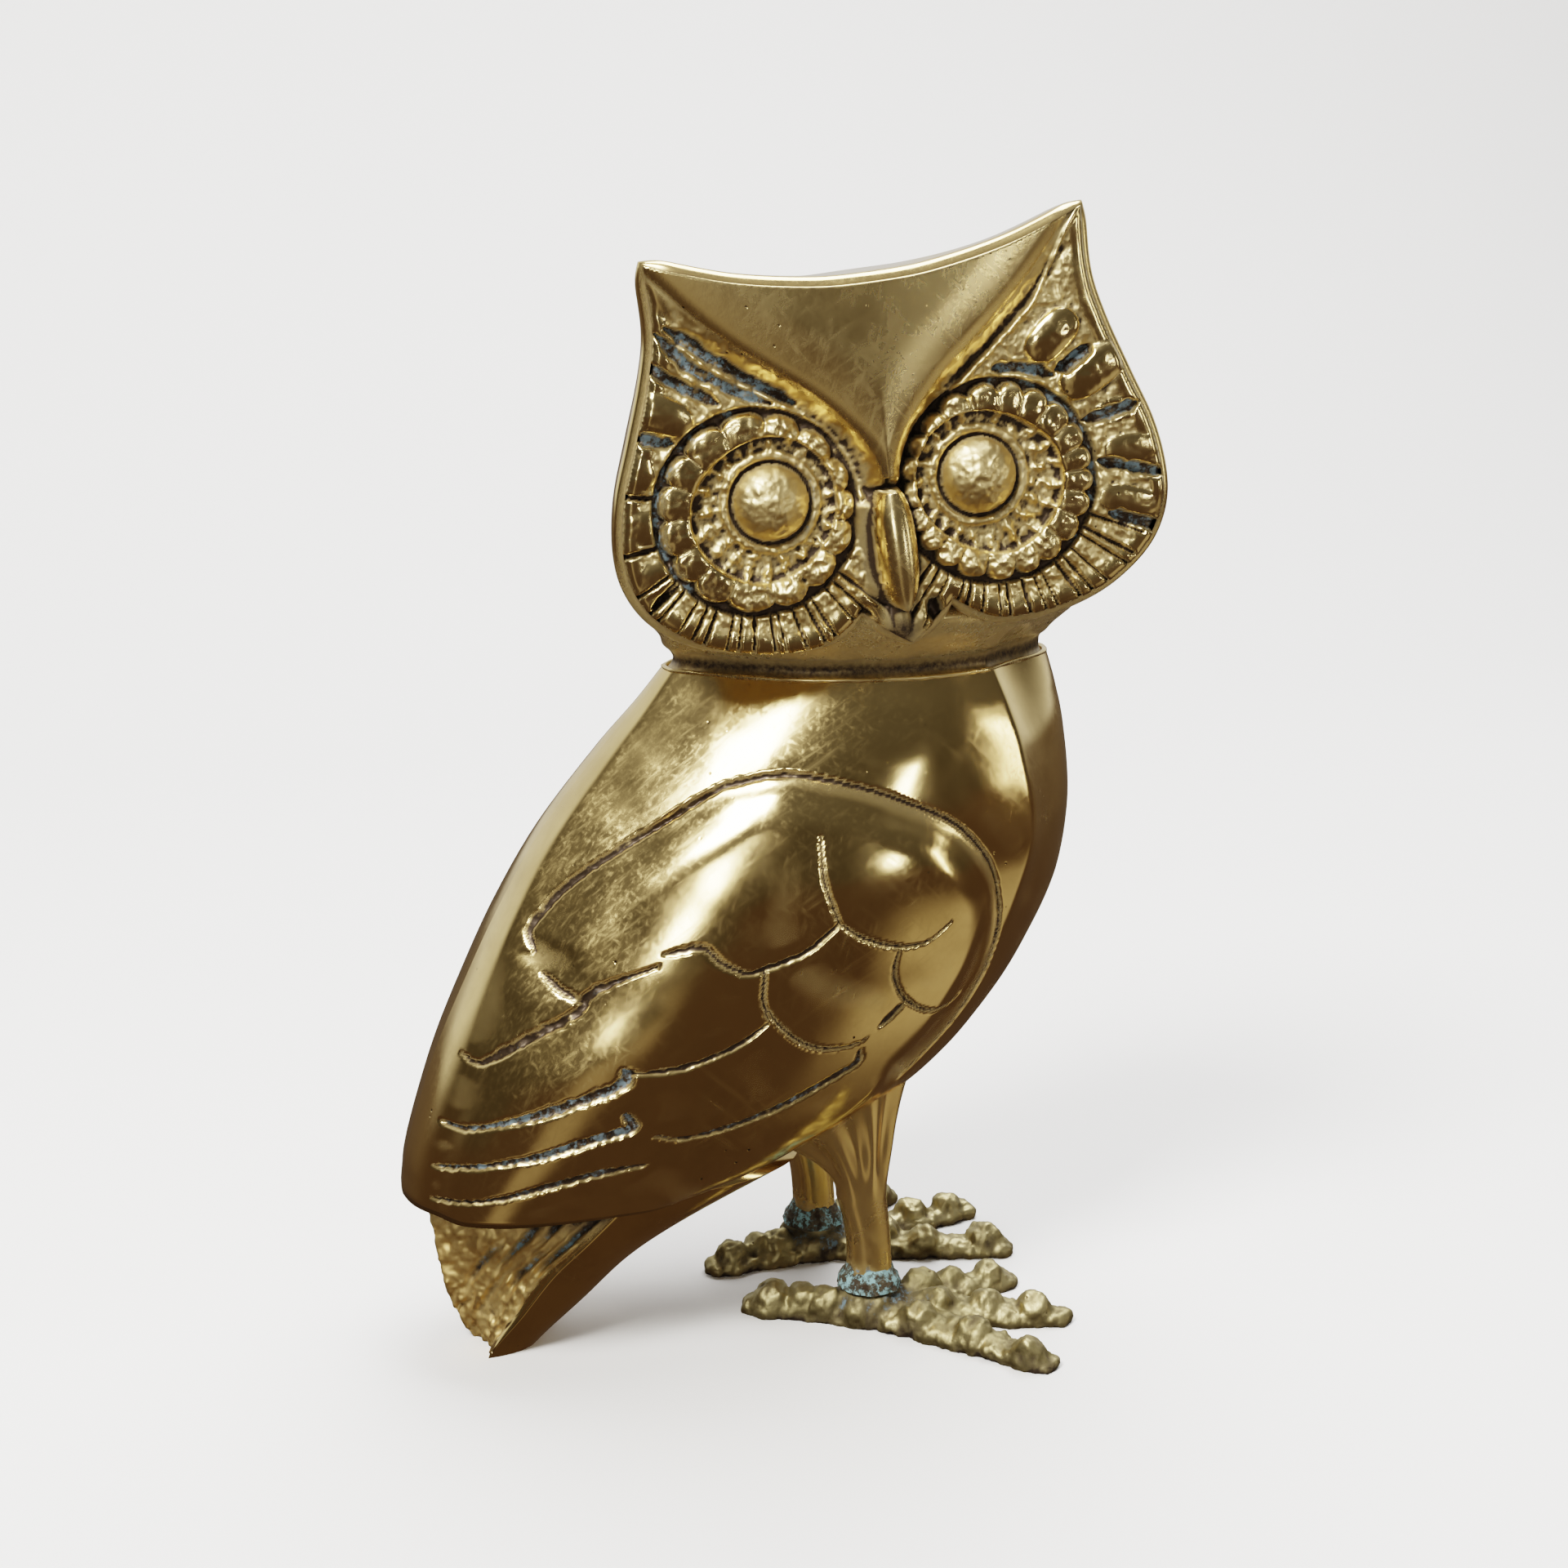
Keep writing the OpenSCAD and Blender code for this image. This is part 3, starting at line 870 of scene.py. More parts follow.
@dataclass
class Eye:
    """One eye: a pitted dome in a lip, a ring of small pads and a ring of polished petals."""

    middle: Point
    ring: Point
    petals: int
    turn: float
    outer: float
    dome: float = 4.75
    reach: float = 12.1

    def petal(self, rp: Array, lobe: Array, outside: Array, fine: Array) -> Array:
        """Shape the petals: broad plates on the outer side, small pillows on the inner one.

        Args:
            rp: Distance from the middle of the ring.
            lobe: 1 on a petal's middle line and 0 between two petals.
            outside: 1 on the outer side of the eye and 0 on the inner one.
            fine: Cast roughness.

        Returns:
            The height at each place.
        """
        edge = self.reach - 1.2 + 1.2 * lobe
        start = mix(8.6, 7.9, outside)
        t = np.clip((rp - start) / (edge - start), 0, 1.3)
        pillow = np.clip(1 - (np.abs(t - 0.52) / 0.56) ** mix(2.4, 4.0, outside), 0, 1) ** 0.6
        top = mix(2.3 + 0.95 * lobe ** 0.7, 2.75 + 0.55 * lobe ** 0.45 - 0.25 * (t - 0.5), outside)
        return mix(1.9 + fine, top + fine, pillow)

    def relief(self, u: Array, v: Array, noise: Array) -> Tuple[Array, Array, Array, Array]:
        """Work out the eye's disc.

        Args:
            u: Places across the face.
            v: Places up the face.
            noise: Cast roughness at those places.

        Returns:
            Height, how much of it applies, how green and how cast each place is.
        """
        r = np.hypot(u - self.middle[0], v - self.middle[1])
        spin = np.arctan2(v - self.middle[1], u - self.middle[0])
        rp = np.hypot(u - self.ring[0], v - self.ring[1])
        around = np.arctan2(v - self.ring[1], u - self.ring[0])
        outside = 0.5 + 0.5 * np.cos(around - math.radians(self.outer))
        uneven = 0.5 * np.sin(2 * around) + 0.2 * np.sin(5 * around)
        wave = (around - math.radians(self.turn)) * self.petals / 2 + uneven
        lobe = np.sqrt(np.abs(np.sin(wave)))
        plate = smoothstep(outside, 0.25, 0.75)
        fine = noise * mix(0.40, 0.06, plate)
        petal = self.petal(rp, lobe, plate, fine)
        inner = mix(r, rp, smoothstep(r, 7.0, 10.0))
        tooth = np.clip(np.cos(spin * 22 + 0.8 * np.sin(spin * 3)), -0.4, 1)
        pad = 1.65 + (0.45 + 0.3 * noise) * tooth * bump_at(inner, 7.8, 1.5) + noise * 0.34
        seat = mix(8.5, 7.9, plate)
        height = mix(pad, petal, smoothstep(inner, seat, seat + 0.4))
        height = mix(2.25 + 0.22 * noise, height, smoothstep(r, self.dome + 1.3, self.dome + 1.8))
        height = mix(1.5 + 0.0 * r, height, smoothstep(r, self.dome + 0.25, self.dome + 0.8))
        round_top = np.sqrt(np.clip(1 - (r / (self.dome + 0.15)) ** 2, 0, 1))
        height = np.where(r < self.dome, np.maximum(height, 1.1 + 4.2 * round_top + 0.15 * noise), height)
        edge = self.reach - 1.2 + 1.2 * lobe
        height = mix(height, 0.9 + 0.2 * noise, smoothstep(rp, edge - 0.15, edge + 0.5))
        weight = 1 - smoothstep(rp, self.reach + 0.5, self.reach + 1.0)
        ring_green = bump_at(rp, self.reach + 0.3, 1.2) * smoothstep(outside + 0.25 * noise, 0.55, 0.95)
        lip_green = 0.6 * bump_at(r, self.dome + 0.7, 0.8) * (np.cos(spin) > 0.2)
        cast = np.maximum(1 - smoothstep(inner, seat, seat + 0.5), 1 - plate) * 0.8
        return height, weight, np.clip(ring_green + lip_green, 0, 1), cast


@dataclass(frozen=True)
class Pad:
    """A smooth rounded pad on the cheek: its middle, half length, half width, direction and height."""

    middle: Point
    half: Tuple[float, float]
    turn: float
    height: float

    def swell(self, u: Array, v: Array) -> Array:
        """Shape the pad.

        Args:
            u: Places across the face.
            v: Places up the face.

        Returns:
            Its rounding at those places, from 0 to 1.
        """
        way = heading(self.turn)
        along = (u - self.middle[0]) * way[0] + (v - self.middle[1]) * way[1]
        across = (v - self.middle[1]) * way[0] - (u - self.middle[0]) * way[1]
        r = np.abs(along / self.half[0]) ** 2.6 + np.abs(across / self.half[1]) ** 2.6
        return np.sqrt(np.clip(1 - r, 0, 1))


@dataclass
class Face:
    """The face casting, a shield of relief on a grid of points."""

    step: float = 0.2
    rim: float = -2.5
    beak_x: float = -1.1
    left: Eye = field(default_factory=lambda: Eye((-15.5, -0.5), (-17.4, -1.5), 15, 8, 165))
    right: Eye = field(default_factory=lambda: Eye((10.7, -1.0), (13.0, -2.2), 21, 0, 25))
    pads: Tuple[Pad, ...] = (
        Pad((21.6, 14.6), (4.0, 2.5), 38, 1.3), Pad((26.3, 9.6), (4.6, 2.6), 28, 1.2),
        Pad((29.7, 4.6), (3.6, 1.6), 8, 0.5), Pad((30.6, -0.6), (3.8, 2.0), -2, 0.6),
        Pad((29.4, -7.0), (4.0, 1.9), -18, 0.6),
        Pad((-27.2, 12.0), (4.0, 2.3), 150, 0.9), Pad((-31.5, -1.2), (2.4, 2.2), 180, 0.5),
        Pad((-31.2, 5.6), (2.2, 2.4), 180, 0.5), Pad((-30.8, -7.6), (2.6, 2.2), 190, 0.5))
    brow: Tuple[Point, ...] = ((0.9, 0.6), (1.3, 2.6), (2.4, 5.2), (4.4, 8), (8.1, 11.9), (12.7, 15.6),
                               (17.8, 19.9), (22.5, 24.5), (27.3, 30))

    def cuts(self) -> List[Groove]:
        """List the deep grooves round the eyes.

        Returns:
            The grooves.
        """
        deep = [
            ((-25.4, 22), (-21.8, 19), (-19.7, 17.1), (-15.6, 14.1), (-11, 11)),
            ((-26.6, 21.5), (-24.7, 19), (-22.8, 16.7), (-20, 14.9), (-17.1, 12.9), (-13.9, 11.4)),
            ((-27.9, 17.8), (-25.8, 16), (-23.1, 14.1), (-20.4, 12.3)), ((-30.6, 9.5), (-26.4, 8.3)),
            ((22, 10.3), (24, 11.2), (26.3, 12.7)), ((24.7, 3.7), (28, 4.2), (31.6, 4.9)),
            ((26.3, -1.6), (30, -2.9), (34.5, -4.3)), ((27, -8.3), (33.4, -11)),
            ((14, 11.6), (17.5, 11.2), (21.5, 9.8))]
        notch = [((-33.8, 2.9), (-30.5, 2.3), (-28.2, 1.7)), ((-34.4, -4.4), (-29.9, -3.9)),
                 ((-31.6, -11), (-27.9, -8))]
        return ([Groove(line, 1.25, 1.3, (0.15, 0.15), 1.0) for line in deep]
                + [Groove(line, 1.5, 1.1, (-0.2, 0.9), 0.25) for line in notch])

    def ribs(self, eye: Eye, side: int) -> List[Groove]:
        """Return the narrow grooves of the fringe below an eye, which fan out from it.

        Args:
            eye: The eye.
            side: -1 for the left eye and 1 for the right.

        Returns:
            The grooves.
        """
        found = []
        for k in range(17):
            angle = 207 + k * 6.9 + 1.5 * math.sin(k * 2.3)
            way = heading(angle if side < 0 else 180 - angle)
            near = np.array(eye.ring) + way * (eye.reach + 0.9)
            far = np.array(eye.ring) + way * (eye.reach + 8)
            width = 0.95 + 0.25 * math.sin(k * 1.7)
            found.append(Groove((tuple(near), tuple(far)), width, 1.0, (0.1, -0.2), 0.15))
        return found

    def heights(self, u: Array, v: Array, depth: Array) -> Dict[str, Array]:
        """Work out the face's relief.

        Args:
            u: Places across the face.
            v: Places up the face.
            depth: Distance inside the outline.

        Returns:
            Height, and how green, cast and cut each place is.
        """
        flat = np.stack((u, v), axis=1)
        solid = np.stack((u, v, 0 * u), axis=1)
        noise, wobble = rough_noise(solid, 0.75, 21, 3), rough_noise(solid, 1.1, 5, 2)
        inland = smoothstep(depth, 1.3, 3.0)
        base = 2.45 + inland * (0.24 * noise - 0.35) + 0.18 * lattice_noise(solid, 3.1, 9)
        green, cast, cut = np.zeros(len(u)), 0.75 * inland, np.zeros(len(u))
        for pad in self.pads:
            swell = pad.swell(u, v)
            top = 2.1 + pad.height * swell + 0.03 * noise
            base = np.maximum(base, mix(base, top, np.clip(swell * 4, 0, 1)))
            cast = cast * (1 - np.clip(swell * 3, 0, 1))
        for groove in self.cuts() + self.ribs(self.left, -1) + self.ribs(self.right, 1):
            c = groove.cut(flat, wobble)
            base = base - c * groove.depth
            cut = np.maximum(cut, c)
            green = np.maximum(green, c * groove.green)
        for eye in (self.left, self.right):
            height, weight, eye_green, eye_cast = eye.relief(u, v, noise)
            base = mix(base, height, weight)
            green = mix(green, eye_green, np.maximum(weight, eye_green))
            cast = mix(cast, eye_cast, weight)
            cut = cut * (1 - weight)
        x = np.abs(u - self.beak_x)
        line = catmull(self.brow, 6)
        r, _ = distance_to_line(np.stack((x, v), axis=1), line)
        above = v > np.interp(x, line[:, 0], line[:, 1])
        d = np.where(above & (x > line[0, 0]) | (above & (v > line[0, 1])), r, -r)
        soft_x = np.sqrt(x * x + 16) - 4
        cushion = 6.4 - 0.055 * soft_x - 0.05 * np.clip(v - 4, 0, 30) - 1.0 * np.clip(1 - d / 7, 0, 1) ** 2
        cushion -= 0.6 * np.clip(1 - d / 1.8, 0, 1) ** 2
        wall = smoothstep(d, -1.7, 0.25)
        near_ear = smoothstep(x, 20, 27)
        ridge = bump_at(d, -2.7 + 2.2 * near_ear, 0.55) * 0.75 * (u > 0) * smoothstep(x, 6, 12)
        groove = bump_at(d, -2.1, 0.9) * 0.6
        base = base + ridge - groove * (1 - near_ear)
        height = mix(base, cushion, wall)
        side = self.beak(u - self.beak_x, v)
        # The nostril pits are cut into the relief and also painted dark as their shade.
        nostril = bump_at(np.hypot((x - 4.4) / 1.5, (v + 16.8) / 2.3), 0, 1.0)
        height = np.maximum(height - 2.4 * nostril, side)
        on_beak = side >= height - 1e-6
        smooth = np.maximum(wall, on_beak)
        bevel = np.clip(1 - depth / 0.9, 0, 1) ** 2 * (1 - wall)
        # Painted shade: a dark patch under the beak's lower half.
        chin_shade = bump_at(np.hypot((x - 0.2) / 1.8, (v + 18.6) / 2.6), 0, 1.9)
        return {"height": height - 0.6 * bevel, "green": green * (1 - smooth),
                "cast": mix(cast * (1 - bevel), 0.22 + 0.0 * cast, smooth),
                "cut": cut * (1 - smooth), "dark": np.maximum(nostril, 0.9 * chin_shade)}

    def beak(self, x: Array, v: Array) -> Array:
        """Shape the beak: a long smooth ridge, its left flank and the small lower half.

        Args:
            x: Places across the face, from the beak's middle line.
            v: Places up the face.

        Returns:
            The height at those places.
        """
        t = np.clip((v + 16.6) / 15.6, 0, 1)
        half = 2.65 * np.clip(1 - np.abs(2 * t - 1.12) ** 2.6, 0.0, 1) ** 0.5
        side = np.sqrt(np.clip(1 - np.abs(x / np.maximum(half, 0.05)) ** 2.4, 0, 1))
        crest = 4.6 - 1.3 * np.abs(2 * t - 0.9) ** 2
        ridge = np.where((t > 0) & (t < 1) & (np.abs(x) < half), 3.2 + crest * side, 0)
        flank = (5.2 + 0.78 * x) * (x < 0) * smoothstep(-v, 0, 3) * (1 - smoothstep(-v, 12.5, 17))
        low = 3.4 * np.sqrt(np.clip(1 - (x / 1.7) ** 2 - ((v + 17.4) / 3.2) ** 2, 0, 1))
        return np.maximum(np.maximum(ridge, flank), low)

    def skin(self) -> Skin:
        """Build the face, cut to its outline, with a rim.

        Returns:
            The skin.
        """
        outline = face_outline()
        across, up = np.arange(-36.4, 36.5, self.step), np.arange(-22.2, 31, self.step)
        u, v = (grid.ravel() for grid in np.meshgrid(across, up))
        flat = np.stack((u, v), axis=1)
        loop = np.vstack((outline, outline[:1]))
        r, _ = distance_to_line(flat, loop)
        depth = np.where(inside_loop(flat, outline), r, -r)
        keep = depth > -0.4 * self.step
        quads = grid_faces(len(up), len(across))
        quads = quads[keep[quads].all(axis=1)]
        looks = self.heights(u, v, np.maximum(depth, 0))
        edge_pairs = np.concatenate([quads[:, (k, (k + 1) % 4)] for k in range(4)])
        code = edge_pairs[:, 0] * len(u) + edge_pairs[:, 1]
        back_code = edge_pairs[:, 1] * len(u) + edge_pairs[:, 0]
        border = edge_pairs[~np.isin(code, back_code)]
        rim = np.unique(border)
        self.snap(flat, rim, loop, looks["cut"])
        grid = looks["height"].reshape(len(up), len(across))
        hollow = np.clip((blurred(grid, 5) - grid) / 0.75, 0, 1).ravel()
        fine = np.clip((blurred(grid, 2) - grid) / 0.28, 0, 1).ravel()
        # The "dark" key is painted shade in the nostrils and under the beak.
        cavity = np.clip(hollow * 0.85 + fine * 0.5 + looks["cut"] * 0.3 + looks["dark"], 0, 1)
        used = np.unique(quads)
        number = np.full(len(u), -1)
        number[used] = np.arange(len(used))
        front = FACE.place(flat[used, 0], flat[used, 1], looks["height"][used])
        low = FACE.place(flat[rim, 0], flat[rim, 1], np.full(len(rim), self.rim))
        count = len(used)
        place = np.full(len(u), -1)
        place[rim] = np.arange(len(rim)) + count
        start, end = border[:, 0], border[:, 1]
        skirt = np.stack((number[end], number[start], place[start], place[end]), axis=1)
        # Painted shade: the skirt down to the rim is painted dark as the shade in the gap between face and
        # shell.
        shades = {"cavity": np.r_[cavity[used], np.full(len(rim), 0.7)],
                  "green": np.r_[looks["green"][used], np.zeros(len(rim))],
                  "cast": np.r_[looks["cast"][used], np.zeros(len(rim))]}
        return Skin(np.vstack((front, low)), [number[quads], skirt], shades)

    def snap(self, flat: Array, rim: Array, loop: Array, cut: Array) -> None:
        """Move the border points onto the outline, and a little inside it where a groove runs out.

        Args:
            flat: All points on the face's plane, which are changed.
            rim: Numbers of the border points.
            loop: The outline, closed.
            cut: How deep each point lies in a groove.
        """
        for i in rim:
            p = flat[i]
            a, d = loop[:-1], np.diff(loop, axis=0)
            t = np.clip(((p - a) * d).sum(axis=1) / np.maximum((d * d).sum(axis=1), 1e-9), 0, 1)
            q = a + t[:, None] * d
            best = np.argmin(((q - p) ** 2).sum(axis=1))
            inward = np.array((-d[best][1], d[best][0]))
            inward = inward / max(np.linalg.norm(inward), 1e-9)
            flat[i] = q[best] - inward * 0.5 * cut[i]

    def build(self) -> List[bpy.types.Object]:
        """Make the face."""
        return [self.skin().build("face", Finish.FACE.material(), "polished_brass", ["head_face"])]


@dataclass
class HeadShell:
    """The back of the head, a rounded shell that stands a little proud of the face's rim."""

    depth: float = 37.0
    proud: float = 1.3
    base: float = 94.6
    rings: int = 72

    def skin(self) -> Skin:
        """Build the shell from its rim to the middle of its back.

        Returns:
            The skin.
        """
        outline = face_outline()
        outline = spaced(np.vstack((outline, outline[:1])), 421)[:-1]
        radius = np.linalg.norm(outline, axis=1)
        side = np.roll(outline, -1, axis=0) - np.roll(outline, 1, axis=0)
        outward = np.stack((-side[:, 1], side[:, 0]), axis=1)
        outward /= np.linalg.norm(outward, axis=1, keepdims=True)
        outward *= np.sign((outward * outline).sum(axis=1))[:, None]
        for _ in range(12):
            outward = (np.roll(outward, 1, axis=0) + outward * 2 + np.roll(outward, -1, axis=0)) / 4
        target = 27 + 5 * (outline[:, 0] / radius) ** 2
        rim = 1.3 + (3.3 - 0.05 * np.abs(outline[:, 0])) * smoothstep(outward[:, 1], 0.5, 0.9)
        for _ in range(16):
            rim = (np.roll(rim, 1) + rim * 2 + np.roll(rim, -1)) / 4
        sheets = []
        for q in np.linspace(0, 1, self.rings) ** 1.5 * 0.985:
            fade = smoothstep(np.array(q), 0, 0.75)
            c, s = math.cos(math.pi / 2 * q), math.sin(math.pi / 2 * q)
            scale = c ** 0.55 * mix(np.ones(len(radius)), target / radius, fade)
            swell = self.proud * (1 - math.exp(-q / 0.012)) * (1 - q)
            flat = outline * scale[:, None] + outward * swell + (0, 1.5 * fade)
            ring = FACE.place(flat[:, 0], flat[:, 1], rim - (self.depth + 0.9 + rim) * s ** 1.15)
            over = (ring[:, 2] - self.base) / 1.2
            ring[:, 2] = self.base + 1.2 * np.logaddexp(0, over)
            sheets.append(ring)
        points = np.array(sheets)
        hub = points[-1].mean(axis=0, keepdims=True)
        n = len(outline)
        flat_points = np.vstack((points.reshape(-1, 3), hub))
        ring_number = np.repeat(np.arange(self.rings), n)
        # Painted shade: the first rings by the rim are painted dark as the shade in the seam by the face.
        seam = np.r_[np.clip(1 - ring_number / 4, 0, 1), 0.0]
        # Painted shade: the shell is painted darker towards its bottom, below 110 mm, as the shade under
        # the head.
        under = smoothstep(110 - flat_points[:, 2], 0, 11)
        looks = {"cavity": np.maximum(seam * 0.8, under * 0.55), "green": seam * 0.0, "cast": seam * 0.0}
        faces = [grid_faces(self.rings, n, closed=True), ring_cap((self.rings - 1) * n, n, self.rings * n)]
        return Skin(flat_points, faces, looks)

    def build(self) -> List[bpy.types.Object]:
        """Make the back of the head."""
        return [self.skin().build("head_shell", Finish.POLISHED.material(), "polished_brass",
                                  ["head_back"])]


@dataclass
class Neck:
    """The collar under the head and the bead of braze that joins it to the body."""

    # level, stretch along X, stretch across, shift along X, shift across, stretch on the far side
    rows: Tuple[Tuple[float, ...], ...] = (
        (90.2, 0.985, 0.975, 0, 0, 0.975), (90.9, 0.958, 0.93, 0.1, 0, 0.935),
        (91.8, 0.952, 0.915, 0.2, 0, 0.92), (92.8, 0.965, 0.94, 0, 0, 0.93),
        (93.6, 0.995, 1.0, 0, -0.2, 0.94), (95, 1.025, 1.06, 0.1, -0.8, 0.935),
        (97, 1.10, 1.14, 0.2, -1.6, 0.88), (99.5, 1.17, 1.18, 0, -2, 0.79),
        (101.5, 1.02, 1.0, -1, -1.5, 0.68), (103.5, 0.74, 0.7, -3, -1, 0.55))
    bead_level: float = 90.62
    bead_radius: float = 0.27

    def ring(self, row: Sequence[float]) -> Array:
        """Draw one level of the collar round the body's mouth.

        Args:
            row: The level's row of the table.

        Returns:
            A ring of points.
        """
        body = Body()
        half = body.half_section(body.rows_at(np.array([MOUTH]))[0])[::3]
        line = np.vstack((half, (half[1:-1] * (1, -1))[::-1]))
        near = (line - (MOUTH_X, 0)) * (row[1], row[2]) + (MOUTH_X + row[3], row[4])
        far = (line - (MOUTH_X, 0)) * row[5] + (MOUTH_X, 0)
        flat = mix(near, far, smoothstep(line[:, 1], 2, 11)[:, None])
        return np.c_[flat, np.full(len(flat), row[0])]

    def collar(self) -> Skin:
        """Build the collar.

        Returns:
            The skin.
        """
        points = np.array([self.ring(row) for row in catmull(self.rows, 8)])
        count, n = points.shape[:2]
        flat = points.reshape(-1, 3)
        lumps = rough_noise(flat, 2.6, 31, 2)
        flat = flat + grid_normals(points).reshape(-1, 3) * (lumps * 0.08)[:, None]
        # Painted shade: the whole collar is darkened as the shade under the head, most in the band at its
        # narrow waist.
        dark = bump_at(flat[:, 2], 91.7, 1.6)
        looks = {"cavity": dark * 0.45 + 0.45, "green": dark * 0.05, "cast": dark * 0.2}
        return Skin(flat, [grid_faces(count, n, closed=True)], looks)

    def bead(self) -> Skin:
        """Build the bead, a thin uneven roll along the seam.

        Returns:
            The skin.
        """
        rows = []
        for t in np.linspace(-0.5 * math.pi, 1.2 * math.pi, 12):
            out = 0.985 + 0.014 * math.cos(t)
            level = self.bead_level + self.bead_radius * math.sin(t)
            rows.append(self.ring((level, out + 0.006, out + 0.012, 0, 0, out + 0.012)))
        points = np.array(rows)
        flat = points.reshape(-1, 3)
        lumps = rough_noise(flat, 1.6, 41, 2)
        flat = flat + grid_normals(points).reshape(-1, 3) * (lumps * 0.11)[:, None]
        looks = {"cavity": np.clip(0.1 + 0.3 * rough_noise(flat, 2.0, 42, 2), 0, 1),
                 "green": np.zeros(len(flat)), "cast": np.full(len(flat), 0.2)}
        return Skin(flat, [grid_faces(len(rows), points.shape[1], closed=True)], looks)

    def build(self) -> List[bpy.types.Object]:
        """Make the collar and the bead."""
        polished, face = Finish.POLISHED.material(), Finish.FACE.material()
        return [self.collar().build("collar", polished, "polished_brass", ["neck_collar"]),
                self.bead().build("neck_bead", face, "braze", ["neck_braze"])]


# ---------------------------------------------------------------- tail, legs and feet


@dataclass
class Tail:
    """The tail casting: a rough back with feather grooves, sharp sides and a smooth underside."""

    # level, back ridge, corner along X, corner across, underside
    rows: Tuple[Tuple[float, ...], ...] = (
        (0, -42, -41, 7, -32.7), (2, -43, -40, 7.6, -30.5), (6, -44.8, -37, 8.9, -25.8),
        (12, -46.2, -33, 10.8, -18.9), (17, -47, -28.6, 12.8, -10.2), (23, -47.5, -23.2, 14.6, 4.5))
    back_steps: int = 96
    side_steps: int = 70
    level_step: float = 0.22
    feathers: Tuple[float, ...] = (2.6, 5.0, 7.3, 9.6, 12.0)

    def half_ring(self, row: Array) -> Tuple[Array, Array, Array]:
        """Return one level from the ridge to the underside.

        Args:
            row: The level's row of the table.

        Returns:
            The points, the distance from the sharp corner, and 1 on the rough back.
        """
        level, ridge, corner_x, corner_y, under = row
        corner = np.array((corner_x, -corner_y))
        t = np.linspace(0, 1, self.back_steps, endpoint=False)[:, None]
        back = np.array((ridge, 0.0)) * (1 - t) + corner * t
        back[:, 0] += 1.3 * np.sin(math.pi * t[:, 0]) + 0.9 * bump_at(t[:, 0], 0.12, 0.2)
        a = np.linspace(0, math.pi / 2, self.side_steps)
        e = 2 / 2.4
        side_x = corner_x + (under - corner_x) * np.sin(a) ** e
        side = np.stack((side_x, -corner_y * np.cos(a) ** e), axis=1)
        line = np.vstack((back, side))
        away = np.r_[(1 - t[:, 0]) * np.linalg.norm(corner - (ridge, 0)), np.zeros(len(side))]
        rough = np.r_[np.ones(len(back)), np.zeros(len(side))]
        return np.c_[line, np.full(len(line), level)], away, rough

    def skin(self) -> Skin:
        """Build both sides of the tail.

        Returns:
            The skin.
        """
        fine = catmull(self.rows, 30)
        levels = np.arange(0, 23, self.level_step)
        rows = np.stack([np.interp(levels, fine[:, 0], fine[:, k]) for k in range(5)], axis=1)
        parts = [self.half_ring(row) for row in rows]
        points = np.array([part[0] for part in parts])
        away, rough = (np.array([part[k] for part in parts]) for k in (1, 2))
        flat = points.reshape(-1, 3)
        soft = rough_noise(flat, 1.6, 51, 3).reshape(away.shape)
        cut = np.zeros(away.shape)
        up = smoothstep(points[..., 2], 3.0, 14.0)
        for k, feather in enumerate(self.feathers):
            wander = 0.35 * soft + 0.5 * np.sin(points[..., 2] * 0.35 + k)
            along = 0.55 + 0.45 * np.sin(points[..., 2] * 0.5 + 2.1 * k)
            cut = np.maximum(cut, bump_at(away + wander * 0.8, feather, 1.1) * along)
        depth = rough * (cut * (0.35 + 0.75 * up) - 0.42 * soft - 0.12)
        inside = smoothstep(away, 0.9, 1.9)
        depth = depth * inside + 0.25 * rough * np.clip(1 - away / 0.8, 0, 1) ** 2
        points = points - grid_normals(points) * depth[..., None]
        points[:, (0, -1), 1] = 0
        # Painted shadow: the top of the rough back, where it runs in under the body and wings, is painted
        # dark as their shadow; verdigris gathers there too.
        crease = rough * bump_at(points[..., 2], 22.5, 7.0)
        # Dark oxide in the feather grooves and in the lows of the cast skin lower down, painted stronger
        # higher up as the shade under the wings.
        patina_and_shade = cut * (0.25 + 0.6 * up) - 0.5 * soft * (1 - up) + 0.1
        cavity = np.clip(rough * patina_and_shade * inside + crease, 0, 1)
        green = rough * np.clip(cut * up ** 3 * 1.1 + 0.8 * crease * smoothstep(away, 4, 12), 0, 1) * inside
        rough = rough * inside
        other = (points * (1, -1, 1))[:, ::-1][:, 1:-1]
        ring = np.concatenate((points, other), axis=1)
        looks = {key: np.concatenate((value, value[:, ::-1][:, 1:-1]), axis=1).ravel()
                 for key, value in (("cavity", cavity), ("green", green), ("cast", rough))}
        count, width = ring.shape[:2]
        flat = ring.reshape(-1, 3)
        hubs = np.vstack((ring[0].mean(axis=0), ring[-1].mean(axis=0)))
        faces = [grid_faces(count, width, closed=True), ring_cap(0, width, len(flat), flip=True),
                 ring_cap((count - 1) * width, width, len(flat) + 1)]
        looks = {key: np.r_[value, 0.5, 0.5] for key, value in looks.items()}
        return Skin(np.vstack((flat, hubs)), faces, looks)

    def build(self) -> List[bpy.types.Object]:
        """Make the tail."""
        return [self.skin().build("tail_casting", Finish.LEG.material(), "cast_brass", ["tail"])]


